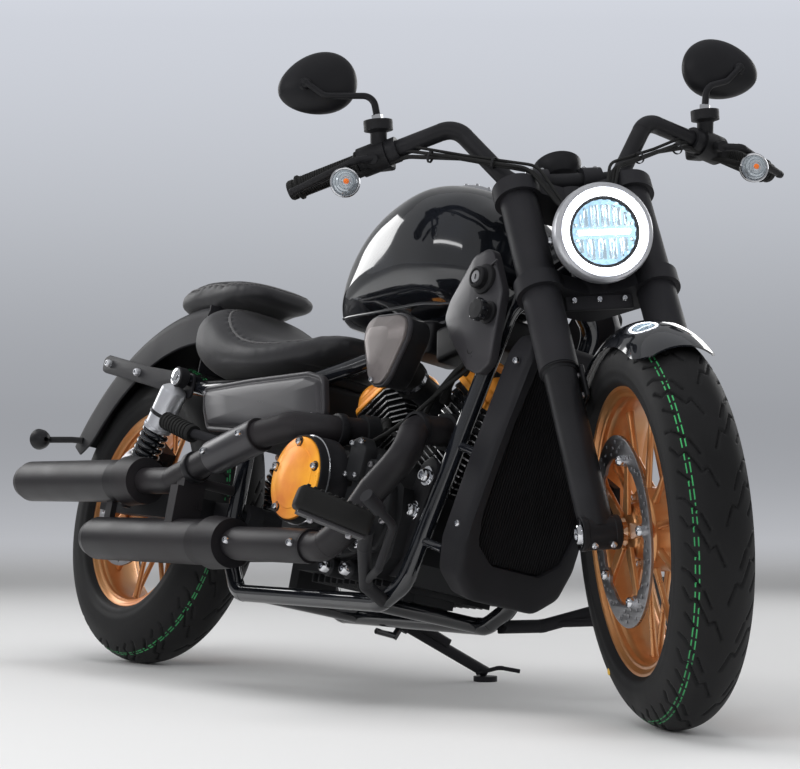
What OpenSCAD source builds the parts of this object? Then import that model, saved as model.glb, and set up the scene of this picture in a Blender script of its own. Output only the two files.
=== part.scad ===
// Cruiser motorcycle with a V-twin engine, parked on its side stand with the bars turned right.
// X points forward, Y to the rider's left and Z up, in millimetres.
// Every piece is drawn upright with the rear axle over x = 0, and park() leans the machine.

/* [Stance] */
// Distance between the axles
wheelbase = 1600; // [1560:5:1660]
// Lean to the left on the side stand, in degrees
lean = 12; // [9:0.5:14]
// Turn of the steering to the right, in degrees
steer = 29; // [20:1:33]
// Slope of the steering axis from upright, in degrees
rake = 31; // [29:0.5:33]
// Distance of the fork legs ahead of the steering axis
fork_offset = 38; // [32:1:44]

/* [Wheels] */
// Outer diameter of the front tyre
front_tyre_d = 624; // [600:2:640]
// Width of the front tyre
front_tyre_w = 120; // [100:2:130]
// Height of the front tyre's side, from rim edge to tread
front_tyre_side = 82; // [70:1:95]
// Outer diameter of the rear tyre
rear_tyre_d = 646; // [620:2:660]
// Width of the rear tyre
rear_tyre_w = 150; // [130:2:160]
// Height of the rear tyre's side, from rim edge to tread
rear_tyre_side = 106; // [90:1:115]
// Pairs of spokes in a wheel
spoke_pairs = 10; // [6:1:14]
// Thickness of one spoke
spoke_d = 11; // [8:0.5:14]
// Diameter of a wheel hub
hub_d = 136; // [110:2:150]
// Diameter of a wheel axle
axle_d = 20; // [16:1:25]
// Outer diameter of the brake discs
disc_d = 300; // [260:5:320]
// Radial depth of the brake discs' braking band
disc_band = 34; // [25:1:45]
// Thickness of the brake discs
disc_t = 5; // [4:0.5:7]

/* [Fork] */
// Distance of a fork leg's centre from the middle
leg_y = 100; // [92:1:110]
// Diameter of the upper fork covers
fork_cover_d = 66; // [60:1:72]
// Diameter of the lower fork legs
fork_leg_d = 55; // [48:1:58]
// Height at which a fork cover ends
fork_step_z = 578; // [540:2:620]
// Height of the lower yoke at the steering axis
lower_yoke_z = 690; // [670:2:705]
// Height of the upper yoke at the steering axis
upper_yoke_z = 866; // [850:2:880]
// Thickness of a yoke
yoke_t = 30; // [22:1:36]
// Diameter of the handlebar tube
bar_d = 32; // [28:1:36]
// Distance of a grip's outer end from the middle
bar_end_y = 446; // [420:2:470]
// Length of a grip
grip_l = 130; // [110:5:140]
// Diameter of a grip
grip_d = 38; // [34:1:42]
// Diameter of the headlamp
lamp_d = 168; // [150:2:180]
// Depth of the headlamp's shell
lamp_depth = 100; // [85:5:115]
// Radial gap between the front tyre and its fender
front_fender_gap = 12; // [8:1:16]
// Thickness of sheet pieces such as the fenders
sheet_t = 4; // [3:0.5:6]

/* [Frame] */
// Diameter of the main frame tubes
frame_tube_d = 32; // [28:1:36]
// Distance of the lower frame rails from the middle
rail_y = 118; // [112:1:124]
// Height of the lower frame rails
rail_z = 150; // [140:2:160]
// Outer diameter of the steering head
head_d = 62; // [56:1:68]
// Diameter of the steering stem
stem_d = 44; // [36:1:48]

/* [Engine] */
// Crankshaft place ahead of the rear axle
crank_x = 965; // [955:5:975]
// Crankshaft height
crank_z = 300; // [290:2:310]
// Lean of each cylinder from upright, in degrees
v_half = 33; // [31:0.5:35]
// Fins on one cylinder
fin_count = 11; // [8:1:12]
// Thickness of a fin
fin_t = 3.5; // [2.5:0.5:5]
// Diameter of the side engine cover
cover_d = 150; // [130:2:160]

/* [Exhaust] */
// Diameter of the silencers
silencer_d = 86; // [76:2:92]
// Length of a silencer
silencer_l = 480; // [420:10:520]
// Diameter of the header pipes
pipe_d = 52; // [44:1:60]
// Distance of the silencers from the middle
silencer_y = 232; // [226:2:240]
// Wall of the silencers and pipes
pipe_wall = 3; // [2:0.5:5]

/* [Bodywork] */
// Greatest height of the fuel tank
tank_top_z = 934; // [915:2:945]
// Half of the tank's greatest width
tank_half_w = 160; // [145:1:170]
// Half of the rider seat's greatest width
seat_half_w = 158; // [140:1:170]
// Outer radius of the rear fender's crown
rear_fender_r = 578; // [574:1:584]
// Half of the rear fender's width
rear_fender_half_w = 98; // [94:1:104]

/* [Hidden] */
$fn = 48;
running = 0.05;
seat_gap = 0.3;
front_axle = [wheelbase, 0, front_tyre_d / 2];
front_rim_d = front_tyre_d - 2 * front_tyre_side;
rear_rim_d = rear_tyre_d - 2 * rear_tyre_side;
rear_axle = [0, 0, rear_tyre_d / 2];

function unit(v) = v / norm(v);
function spin_x(v, a) = [v.x, v.y * cos(a) - v.z * sin(a), v.y * sin(a) + v.z * cos(a)];
// Rodrigues' rotation of v about the unit axis k by a degrees
function turn(v, k, a) = v * cos(a) + cross(k, v) * sin(a) + k * (k * v) * (1 - cos(a));

// Steering axis: direction up the head, and the point of it level with the front axle's foot
steer_dir = [-sin(rake), 0, cos(rake)];
steer_fwd = [cos(rake), 0, sin(rake)];
steer_foot = front_axle - fork_offset * steer_fwd;
function on_steer(z) = steer_foot + steer_dir * (z - steer_foot.z) / steer_dir.z;
function on_leg(z) = front_axle + steer_dir * (z - front_axle.z) / steer_dir.z;

// Lowest point of a round-crowned tyre from its centre, its axle direction and its two radii
function tyre_low(c, n, d, w) = c.z - (d - w) / 2 * sqrt(1 - n.z * n.z) - w / 2;
front_centre_parked = spin_x(steer_foot + turn(front_axle - steer_foot, steer_dir, -steer), -lean);
front_axis_parked = spin_x(turn([0, 1, 0], steer_dir, -steer), -lean);
front_low = tyre_low(front_centre_parked, front_axis_parked, front_tyre_d, front_tyre_w);
rear_low = tyre_low(spin_x(rear_axle, -lean), spin_x([0, 1, 0], -lean), rear_tyre_d, rear_tyre_w);
nose_pitch = asin((front_low - rear_low) / wheelbase);
// Middle of the parked machine's outline, which becomes the origin
origin_shift = [763.27, 167.97, rear_low];

module park() {
    translate(-origin_shift) rotate([-lean, nose_pitch, 0]) children();
}
// Draws in the parked frame's own level directions, about a point given in the upright frame
module level_at(p = [0, 0, 0]) {
    translate(p) rotate([lean, 0, 0]) rotate([0, -nose_pitch, 0]) children();
}
module steered() {
    park() translate(steer_foot) rotate([0, -rake, 0]) rotate([0, 0, -steer]) rotate([0, rake, 0])
        translate(-steer_foot) children();
}
module both_sides() {
    children();
    mirror([0, 1, 0]) children();
}
// Puts a piece drawn along +Z from the origin onto the line from a towards b
module aim(a, b) {
    d = b - a;
    translate(a) rotate([0, acos(d.z / norm(d)), atan2(d.y, d.x)]) children();
}
module rod(a, b, d) {
    aim(a, b) cylinder(d = d, h = norm(b - a));
}
// Draws along the steering axis's direction, from a point
module along_steer(p) {
    translate(p) rotate([0, -rake, 0]) children();
}
// Draws along the axle direction, turned so that +Z becomes +Y
module axle_wise(p = [0, 0, 0]) {
    translate(p) rotate([-90, 0, 0]) children();
}

// Tube through points. A round bend stands a little proud of the straights that run into it.
bend_proud = 0.6;
function setback(p, i, bend) = let (u = unit(p[i] - p[i - 1]), v = unit(p[i + 1] - p[i]))
    acos(u * v) < 8 ? 0 : bend * tan(acos(u * v) / 2);
function leg_start(p, i, bend) = i == 0 ? p[0]
    : p[i] + unit(p[i + 1] - p[i]) * max(0, setback(p, i, bend) - 2);
function leg_end(p, i, bend) = i == len(p) - 2 ? p[i + 1]
    : p[i + 1] - unit(p[i + 1] - p[i]) * max(0, setback(p, i + 1, bend) - 2);
module bent_tube(p, d, bend) {
    for (i = [0:len(p) - 2]) rod(leg_start(p, i, bend), leg_end(p, i, bend), d);
    for (i = [1:1:len(p) - 2]) {
        u = unit(p[i] - p[i - 1]);
        v = unit(p[i + 1] - p[i]);
        if (setback(p, i, bend) == 0) translate(p[i]) sphere(d = d + bend_proud);
        else {
            n = unit(v - u * (u * v));
            w = cross(u, n);
            c = p[i] - u * setback(p, i, bend) + n * bend;
            multmatrix([[-n.x, u.x, w.x, c.x], [-n.y, u.y, w.y, c.y], [-n.z, u.z, w.z, c.z], [0, 0, 0, 1]])
                rotate_extrude(angle = acos(u * v)) translate([bend, 0]) circle(d = d + bend_proud);
        }
    }
}

// Closed skin over rings that have one number of points each
module loft(rings) {
    n = len(rings[0]);
    m = len(rings);
    polyhedron(points = [for (r = rings) each r], faces = [
        [for (i = [0:n - 1]) i],
        [for (i = [0:n - 1]) m * n - 1 - i],
        for (k = [0:m - 2], i = [0:n - 1]) let (j = (i + 1) % n)
            each [[k * n + i, (k + 1) * n + j, k * n + j], [k * n + i, (k + 1) * n + i, (k + 1) * n + j]]
    ]);
}
// Rounded outline across the machine at one x. Power 2 is an ellipse, and more is squarer.
function oval(x, y, half_w, z_low, z_high, power, n = 24) = [for (i = [0:n - 1])
    let (c = cos(360 * i / n), s = sin(360 * i / n))
        [x, y + half_w * sign(c) * pow(abs(c), 2 / power),
            (z_low + z_high) / 2 + (z_high - z_low) / 2 * sign(s) * pow(abs(s), 2 / power)]];

// Wheels
function bead_w(w) = 0.68 * w;
function bead_r(rim_d) = rim_d / 2 - 10;
lip_t = 7;
barrel_t = 8;
module tyre(d, w, rim_d) {
    color("#191919") rotate_extrude($fn = 96) {
        intersection() {
            translate([(d - w) / 2, 0]) circle(d = w);
            translate([rim_d / 2 + 1, -w]) square([w, 2 * w]);
        }
        translate([bead_r(rim_d), -bead_w(w) / 2]) square([12, bead_w(w)]);
    }
}
// Rim, hub and spokes, with five arms that carry the disc's inner face
module rim(w, rim_d, hub_low, hub_high, carrier_r) {
    inner_r = bead_r(rim_d) - seat_gap - barrel_t;
    color("#b9793f") difference() {
        union() {
            rotate_extrude($fn = 96) {
                translate([inner_r, -bead_w(w) / 2]) square([barrel_t, bead_w(w)]);
                for (s = [0, 1]) mirror([0, s]) translate([inner_r, bead_w(w) / 2])
                    square([rim_d / 2 - inner_r, lip_t]);
            }
            translate([0, 0, hub_low]) cylinder(d = 64, h = hub_high - hub_low);
            for (k = [0:4]) rotate(72 * k) translate([20, -10, hub_high - 7]) cube([carrier_r - 20, 20, 7]);
            for (k = [0:4]) rotate(72 * k) translate([carrier_r - 10, 0, hub_high - 7]) cylinder(d = 26, h = 7);
            translate([0, 0, hub_low + 1]) cylinder(d = 88, h = hub_high - hub_low - 12);
            cylinder(d = hub_d, h = 58, center = true);
            for (k = [0:spoke_pairs - 1], s = [-1, 1]) {
                a = 360 * k / spoke_pairs + s * 5;
                rod([(hub_d / 2 - 4) * cos(a), (hub_d / 2 - 4) * sin(a), s * 18],
                    [(inner_r + 3) * cos(a), (inner_r + 3) * sin(a), s * 10], spoke_d);
            }
        }
        translate([0, 0, hub_low - 1]) cylinder(d = axle_d + 2 * running, h = hub_high - hub_low + 2);
    }
}
// Braking band, drawn from its inner face outwards
module brake_disc(d) {
    color("#8f9296") difference() {
        cylinder(d = d, h = disc_t, $fn = 96);
        translate([0, 0, -1]) cylinder(r = d / 2 - disc_band, h = disc_t + 2, $fn = 96);
    }
}
// Draws a wheel's piece about its axle: +Z there is the rider's right
module at_axle(p) {
    translate(p) rotate([90, 0, 0]) children();
}
disc_gap = 10;
front_disc_y = leg_y - fork_leg_d / 2 - disc_gap - disc_t;
front_hub_left = leg_y - fork_leg_d / 2 - 10;
module front_tyre() steered() at_axle(front_axle) tyre(front_tyre_d, front_tyre_w, front_rim_d);
module front_rim() steered() at_axle(front_axle)
    rim(front_tyre_w, front_rim_d, -front_hub_left, front_disc_y - seat_gap, disc_d / 2 - disc_band + 14);
module front_disc() steered() at_axle(front_axle) translate([0, 0, front_disc_y]) brake_disc(disc_d);

rear_disc_y = 84;
rear_disc_d = disc_d - 40;
pulley_y = 78;
pulley_w = 19;
rear_pulley_r = 84;
front_pulley = [640, 0, 300];
front_pulley_r = 42;
module rear_tyre() park() at_axle(rear_axle) tyre(rear_tyre_d, rear_tyre_w, rear_rim_d);
module rear_rim() park() at_axle(rear_axle)
    rim(rear_tyre_w, rear_rim_d, -pulley_y + seat_gap, rear_disc_y - seat_gap, rear_disc_d / 2 - disc_band + 14);
module rear_disc() park() at_axle(rear_axle) translate([0, 0, rear_disc_y]) brake_disc(rear_disc_d);
module rear_pulley() park() at_axle(rear_axle) color("#26272a") difference() {
    translate([0, 0, -pulley_y - pulley_w]) cylinder(r = rear_pulley_r, h = pulley_w, $fn = 96);
    translate([0, 0, -pulley_y - pulley_w - 1]) cylinder(d = axle_d + 8, h = pulley_w + 2);
    for (k = [0:4]) rotate(72 * k) translate([52, 0, -pulley_y - pulley_w - 1])
        cylinder(d = 34, h = pulley_w + 2);
}

// Fork and everything that steers
caliper_angle = 164;
caliper_out = 28;
rear_caliper_angle = 62;
leg_in_cover = 30;
leg_top_z = upper_yoke_z + fork_offset * sin(rake) + (yoke_t + 5) * cos(rake);
module legs_between(z_low, z_high, d) {
    for (s = [-1, 1]) rod(on_leg(z_low) + [0, s * leg_y, 0], on_leg(z_high) + [0, s * leg_y, 0], d);
}
module fork_covers() steered() color("#1d1e20") difference() {
    legs_between(fork_step_z, leg_top_z, fork_cover_d);
    legs_between(fork_step_z - 20, fork_step_z + leg_in_cover, fork_leg_d + 6);
}
module fork_legs() steered() color("#232427") {
    legs_between(front_axle.z, fork_step_z + leg_in_cover, fork_leg_d);
    for (s = [-1, 1]) translate(front_axle + [0, s * (leg_y - 2), 0]) rotate([90, 0, 0])
        cylinder(d = 52, h = fork_leg_d + 4, center = true);
    at_axle(front_axle) cylinder(d = axle_d, h = 2 * leg_y, center = true);
    lug_y = -front_disc_y - caliper_out - seat_gap - 7.5;
    rod(front_axle + steer_dir * 128 + [0, lug_y, 0], front_axle + [124 * cos(caliper_angle - 6), lug_y,
        124 * sin(caliper_angle - 6)], 15);
}
module yoke_outline() {
    difference() {
        union() {
            circle(r = 40);
            for (s = [-1, 1]) translate([fork_offset, s * leg_y]) circle(d = fork_cover_d + 18);
            polygon([[-36, -20], [fork_offset - 38, -leg_y], [fork_offset + 38, -leg_y],
                [fork_offset - 8, 0], [fork_offset + 38, leg_y], [fork_offset - 38, leg_y], [-36, 20]]);
        }
        for (s = [-1, 1]) translate([fork_offset, s * leg_y]) circle(d = fork_cover_d + 2 * seat_gap);
    }
}
bar_mid = [1196, 0, 926];
riser_y = 48;
module yokes() steered() color("#1b1c1e") {
    for (z = [lower_yoke_z, upper_yoke_z]) along_steer(on_steer(z)) linear_extrude(yoke_t) yoke_outline();
    along_steer(on_steer(lower_yoke_z + 10)) cylinder(d = stem_d, h = norm(on_steer(upper_yoke_z) - on_steer(lower_yoke_z)));
    difference() {
        for (s = [-1, 1]) {
            rod(on_steer(upper_yoke_z + 14) + [0, s * riser_y, 0], bar_mid + [0, s * riser_y, 0], 36);
            translate(bar_mid + [0, s * riser_y, 0]) rotate([90, 0, 0]) cylinder(d = bar_d + 18, h = 34, center = true);
        }
        translate(bar_mid) rotate([90, 0, 0]) cylinder(d = bar_d + 2 * seat_gap, h = 200, center = true);
    }
}
// Handlebar points of the left half, from the middle outwards
bar_bend = 42;
bar_rise = [1138, 176, 1042];
bar_knee = [1078, 300, 1006];
grip_end = [1000, bar_end_y, 964];
grip_start = grip_end - unit(grip_end - bar_knee) * grip_l;
function flip_y(p) = [p.x, -p.y, p.z];
module handlebar() steered() color("#1a1a1b") bent_tube([flip_y(grip_start), flip_y(bar_knee), flip_y(bar_rise),
    bar_mid + [0, -96, 0], bar_mid + [0, 96, 0], bar_rise, bar_knee, grip_start], bar_d, bar_bend);
module grips() steered() color("#131313") both_sides() {
    rod(grip_start, grip_end, grip_d);
    rod(grip_end - grip_dir * 2, grip_end + grip_dir * 14, 26);
}
control_at = bar_knee + unit(grip_end - bar_knee) * 24;
grip_dir = unit(grip_end - bar_knee);
control_tip = grip_start - grip_dir * 1;
module bar_controls() steered() color("#151516") both_sides() {
    difference() {
        union() {
            rod(control_tip - grip_dir * 52, control_tip, 54);
            rod(control_tip - grip_dir * 34, control_tip - grip_dir * 34 + [14, 0, 44], 30);
            rod(control_tip - grip_dir * 34 + [14, 0, 44], control_tip - grip_dir * 34 + [14, 0, 62], 52);
            rod(control_tip - grip_dir * 20, control_tip - grip_dir * 10 + [52, 0, -4], 20);
        }
        rod(control_tip - grip_dir * 90, control_tip + grip_dir * 20, bar_d + 2 * seat_gap);
        bent_tube([bar_rise, bar_knee, grip_start], bar_d + 2 * seat_gap, bar_bend);
    }
    bent_tube([control_tip - grip_dir * 10 + [46, 0, -4], control_tip + [64, 24, -6],
        grip_end + grip_dir * 20 + [44, 0, -8]], 13, 12);
}
// Middles of the two mirrors, which are set to suit the rider
mirror_right = [1050, 402, 1144];
mirror_left = [1050, 356, 1150];
mirror_stem_foot = control_tip - grip_dir * 34 + [14, 0, 62 + seat_gap + 1];
// Egg-shaped outline of a mirror at one x, its narrow end outboard and a little lower
function egg(at, x, k, n = 28) = [for (i = [0:n - 1])
    let (c = cos(360 * i / n), s = sin(360 * i / n), u = 73 * k * c, w = 55 * k * s * (1 - 0.17 * c))
        [at.x + x, at.y + u * cos(12) + w * sin(12), at.z + w * cos(12) - u * sin(12)]];
module mirror_head(at) {
    bent_tube([mirror_stem_foot, mirror_stem_foot + [4, 8, 50], at + [38, -20, -34], at + [24, 12, -4]], 12, 16);
    loft([for (s = [[-14, 0.94], [-6, 1], [8, 0.93], [18, 0.74], [26, 0.4]]) egg(at, s[0], s[1])]);
}
module mirrors() steered() color("#18191b") {
    mirror_head(mirror_left);
    mirror([0, 1, 0]) mirror_head(mirror_right);
}
indicator_at = [1098, 378, 952];
module front_indicators() steered() both_sides() {
    color("#1b1b1c") translate(indicator_at) rotate([0, 90, 0]) cylinder(d1 = 34, d2 = 54, h = 26);
    color("#1b1b1c") difference() {
        rod(indicator_at + [4, 0, 6], control_tip - grip_dir * 26, 11);
        rod(control_tip - grip_dir * 60, control_tip + grip_dir * 10, 54 + 2 * seat_gap);
    }
    color("#d8dde0") translate(indicator_at + [26, 0, 0]) rotate([0, 90, 0]) cylinder(d1 = 50, d2 = 36, h = 14);
}
lamp_back = [1326, 0, 806];
module headlamp_shell() steered() color("#3c3e41") {
    translate(lamp_back) rotate([0, 90, 0]) rotate_extrude() polygon([[0, 0], [40, 0],
        [lamp_d / 2 - 18, 26], [lamp_d / 2 - 5, lamp_depth * 0.62], [lamp_d / 2, lamp_depth * 0.7],
        [lamp_d / 2, lamp_depth - 4], [lamp_d / 2 - 4, lamp_depth], [lamp_d / 2 - 12, lamp_depth],
        [lamp_d / 2 - 12, lamp_depth - 14], [0, lamp_depth - 14]]);
    translate(lamp_back) rotate([90, 0, 0]) cylinder(d = 20, h = 2 * (leg_y - fork_cover_d / 2 + 1.2), center = true);
}
module headlamp_lens() steered() color("#e8eef2") translate(lamp_back + [lamp_depth - 14, 0, 0])
    rotate([0, 90, 0]) cylinder(d1 = lamp_d - 26, d2 = lamp_d - 30, h = 13);
module gauge() steered() color("#161617") along_steer(on_steer(upper_yoke_z) - 22 * steer_fwd) {
    translate([0, 0, yoke_t + seat_gap]) cylinder(d = 14, h = 66);
    translate([-4, 0, yoke_t + 62]) cylinder(d1 = 70, d2 = 88, h = 34);
}
fender_low = 56;
module front_fender() steered() color("#101113") {
    section_r = front_tyre_w / 2 + front_fender_gap;
    translate(front_axle) rotate([90, 0, 0]) rotate([0, 0, fender_low]) rotate_extrude(angle = 90, $fn = 96)
        intersection() {
            translate([(front_tyre_d - front_tyre_w) / 2, 0]) difference() {
                circle(r = section_r + sheet_t);
                circle(r = section_r);
            }
            translate([(front_tyre_d - front_tyre_w) / 2 + 20, -66]) square([100, 132]);
        }
    both_sides() translate(on_leg(front_axle.z + 240)) rotate([-90, 0, 0])
        translate([0, 0, 64]) cylinder(d = 26, h = leg_y - fork_leg_d / 2 - 64 - seat_gap);
}
module caliper(disc_r, y) {
    rotate([90, 0, 0]) color("#1c1c1e") difference() {
        translate([disc_r - disc_band - 14, -42, y - 24]) cube([disc_band + 32, 84, 24 + caliper_out]);
        translate([0, 0, y - 14]) cylinder(r = disc_r + 6, h = disc_t + 19, $fn = 96);
    }
}
module front_caliper() steered() translate(front_axle) rotate([0, -caliper_angle, 0])
    caliper(disc_d / 2, front_disc_y);
cable_d = 8;
cable_side = [8, 0, -20] - grip_dir * (grip_dir * [8, 0, -20]);
cable_foot = lamp_back + [13, 30, 43.8];
cable_way = [-0.707, 0.4, 0.583];
module control_cables() steered() color("#0f0f10") both_sides()
    bent_tube([control_tip - grip_dir * (52 + seat_gap) + cable_side, control_tip - grip_dir * 84 + cable_side,
        [1180, 180, 978], [1262, 72, 937], cable_foot + cable_way * 32, cable_foot + cable_way * seat_gap],
        cable_d, 30);

// Frame
backbone_d = 46;
backbone_front = [1262, 0, 786];
backbone_rear = [770, 0, 640];
seat_rail_y = rear_fender_half_w + 2 + frame_tube_d / 2;
seat_rail_z = 556;
down_tube_top = [1218, 92, 676];
down_tube_low = [1084, rail_y, 186];
post_x = 486;
shock_top = [246, 0, 574];
module frame() park() color("#121315") difference() {
    union() {
        along_steer(on_steer(lower_yoke_z) + steer_dir * (yoke_t + 1))
            cylinder(d = head_d, h = norm(on_steer(upper_yoke_z) - on_steer(lower_yoke_z)) - yoke_t - 2);
        rod(backbone_front, backbone_rear, backbone_d);
        both_sides() {
            bent_tube([on_steer(758) + [-8, 16, 0], [1228, 45, 712], down_tube_top, down_tube_low, [1024, rail_y, rail_z],
                [548, rail_y, rail_z], [post_x, rail_y, rail_z + 84], [post_x, rail_y, 440],
                [post_x - 40, seat_rail_y, seat_rail_z]], frame_tube_d, 46);
            bent_tube([[backbone_rear.x + 40, 8, backbone_rear.z + 8], [710, 66, 594], [610, 104, seat_rail_z],
                [480, seat_rail_y, seat_rail_z],
                [290, seat_rail_y, seat_rail_z], [-150, seat_rail_y, 626]], frame_tube_d, 60);
            translate([shock_top.x, seat_rail_y, shock_top.z]) rotate([-90, 0, 0]) cylinder(d = 24, h = 57);
            for (t = [0.78, 0.9]) {
                p = down_tube_low + (down_tube_top - down_tube_low) * t;
                translate(p) rotate([-90, 0, 0]) cylinder(d = 18, h = neck_in - seat_gap - p.y);
            }
            for (t = [0.16, 0.5]) {
                p = down_tube_low + (down_tube_top - down_tube_low) * t;
                rod(p, p - cool_way * (30 + seat_gap + (p - cool_foot) * cool_way), 16);
            }
            for (p = [[-84, 616], [-126, 622]]) translate([p[0], rear_fender_half_w + seat_gap, p[1]])
                rotate([-90, 0, 0]) cylinder(d = 16, h = 12);
        }
        for (x = [1000, 620]) translate([x, 0, rail_z]) rotate([90, 0, 0])
            cylinder(d = 28, h = 2 * rail_y, center = true);
        translate([post_x, 0, 300]) rotate([90, 0, 0]) cylinder(d = 24, h = 2 * rail_y, center = true);
        rod(stand_pivot - stand_axis * 34, stand_pivot + stand_axis * 34, stand_pin_d);
        for (s = [-1, 1]) rod(stand_pivot + stand_axis * s * 28,
            [stand_pivot.x, rail_y + 3, rail_z] + stand_axis * s * 28, 12);
    }
    along_steer(on_steer(lower_yoke_z)) cylinder(d = stem_d + 2 * running, h = 400);
}
arm_in = 106;
arm_t = 32;
pivot_half = 98;
module slab(y_in, t, outline) {
    translate([0, y_in + t, 0]) rotate([90, 0, 0]) linear_extrude(t) polygon(outline);
}
module swingarm() park() color("#141416") difference() {
    union() {
        both_sides() {
            slab(arm_in, arm_t, [[-38, 304], [-38, 346], [24, 354], [372, 330], [372, 284], [24, 298]]);
            slab(pivot_half - 30, arm_in + arm_t - pivot_half + 20, [[334, 288], [334, 331], [371, 329], [371, 286]]);
            slab(pivot_half - 30, 31, [[336, 287], [336, 330], [500, 324], [514, 300], [500, 276]]);
            translate([shock_foot.x, arm_in + 10, shock_foot.z]) rotate([-90, 0, 0]) cylinder(d = 26, h = 57);
        }
        translate([post_x, 0, 300]) rotate([90, 0, 0]) cylinder(d = 48, h = 2 * pivot_half, center = true);
        translate([404, 0, 306]) rotate([90, 0, 0]) cylinder(d = 36, h = 150, center = true);
        at_axle(rear_axle) cylinder(d = axle_d, h = 2 * arm_in + 10, center = true);
        lug_y = -rear_disc_y - caliper_out - seat_gap - 6;
        rod([38, lug_y, rear_axle.z + 12], rear_axle + [100 * cos(rear_caliper_angle), lug_y,
            100 * sin(rear_caliper_angle)], 12);
    }
    translate([post_x, 0, 300]) rotate([90, 0, 0]) cylinder(d = 24 + 2 * seat_gap, h = 300, center = true);
    both_sides() translate([0, arm_in + arm_t + 1, rear_axle.z]) rotate([90, 0, 0]) cylinder(r = 5, h = 25);
}
shock_foot = [118, 0, 330];
shock_y = 162;
module rear_shocks() park() both_sides() translate([0, shock_y, 0]) {
    top = shock_top;
    l = norm(top - shock_foot);
    color("#c9ccd0") difference() {
        union() {
            aim(shock_foot, top) {
                translate([0, 0, 20]) cylinder(d = 24, h = l - 40);
                translate([0, 0, l - 120]) cylinder(d = 58, h = 96);
                translate([0, 0, 34]) cylinder(d = 58, h = 8);
                for (k = [0:6]) translate([0, 0, 50 + k * 15.5]) rotate_extrude() translate([22, 0]) circle(d = 9, $fn = 16);
                for (k = [0:6]) translate([0, 0, 48 + k * 15.5]) cylinder(d = 42, h = 4);
            }
            for (p = [shock_foot, top]) translate(p) rotate([90, 0, 0]) cylinder(d = 42, h = 22, center = true);
        }
        translate(top) rotate([90, 0, 0]) cylinder(d = 24 + 2 * seat_gap, h = 60, center = true);
        translate(shock_foot) rotate([90, 0, 0]) cylinder(d = 26 + 2 * seat_gap, h = 60, center = true);
    }
}

// Engine and drive
case_half_y = 150;
function bank(s, r, off = 0) = [crank_x + s * r * sin(v_half) + s * off * cos(v_half), 0,
    crank_z + r * cos(v_half) - off * sin(v_half)];
barrel_low = 104;
barrel_high = 226;
head_high = 276;
cover_high = 334;
lobe_r = 28;
module engine_case() park() color("#3a3b3e") {
    roof_f = bank(1, barrel_low - 2, 70);
    roof_r = bank(-1, barrel_low - 2, 70);
    slab(-case_half_y, 2 * case_half_y, [[crank_x - 217, 236], [crank_x - 175, 196], [crank_x + 75, 190],
        [crank_x + 111, 226], [crank_x + 122, 300], [roof_f.x, roof_f.z], [crank_x, crank_z + (barrel_low - 2) / cos(v_half)],
        [roof_r.x, roof_r.z], [crank_x - 160, 372], [crank_x - 203, 384]]);
    rotate([90, 0, 0]) translate([0, 0, -68]) linear_extrude(136) polygon([[598, 262], [620, 232], [760, 220],
        [800, 300], [780, 400], [700, 396], [610, 340]]);
    for (s = [-1, 1]) rod(bank(s, 40), bank(s, barrel_low - seat_gap), 140);
    translate([crank_x, case_half_y, crank_z]) rotate([-90, 0, 0]) cylinder(r1 = 96, r2 = 88, h = 52);
    translate([front_pulley.x, 60, crank_z]) rotate([-90, 0, 0]) cylinder(d = 26, h = pulley_y + pulley_w - 60);
    translate([front_pulley.x, pulley_y, crank_z]) rotate([-90, 0, 0]) cylinder(r = front_pulley_r, h = pulley_w);
    translate([1000 - 16, -44, rail_z + 14 + seat_gap]) cube([32, 88, 40]);
    translate([620 - 14, -44, rail_z + 14 + seat_gap]) cube([28, 88, 90]);
    translate([cover_at.x - 110, -case_half_y - 18, crank_z - 30]) cube([220, 22, 76]);
}
cover_at = [850, -case_half_y - 18, 349];
cover_ring_d = cover_d + 16;
module clutch_cover() park() {
    color("#1d1d1f") translate(cover_at + [0, -seat_gap, 0]) rotate([90, 0, 0]) difference() {
        cylinder(d1 = cover_ring_d + 6, d2 = cover_ring_d, h = 58);
        translate([0, 0, 46]) cylinder(d = cover_d + seat_gap, h = 20);
        rotate([-90, 0, 0]) translate(-cover_at - [0, -seat_gap, 0])
            bent_tube([upper_port, upper_bend, [774, -206, 452], [700, -224, 432]], pipe_d + 8, 46);
    }
    color("#c8541c") translate(cover_at + [0, -46 - seat_gap, 0]) rotate([90, 0, 0]) {
        cylinder(d = cover_d, h = 16);
        translate([0, 0, 15]) cylinder(d1 = cover_d - 30, d2 = cover_d - 40, h = 8);
    }
}
fin_x = 132;
fin_y = 148;
module fin_plate(sx, sy, t) {
    linear_extrude(t) polygon([[-sx / 2 + 22, -sy / 2], [sx / 2 - 22, -sy / 2], [sx / 2, -sy / 2 + 22],
        [sx / 2, sy / 2 - 22], [sx / 2 - 22, sy / 2], [-sx / 2 + 22, sy / 2],
        [-sx / 2, sy / 2 - 22], [-sx / 2, -sy / 2 + 22]]);
}
module on_bank(s) {
    translate([crank_x, 0, crank_z]) rotate([0, s * v_half, 0]) children();
}
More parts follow.
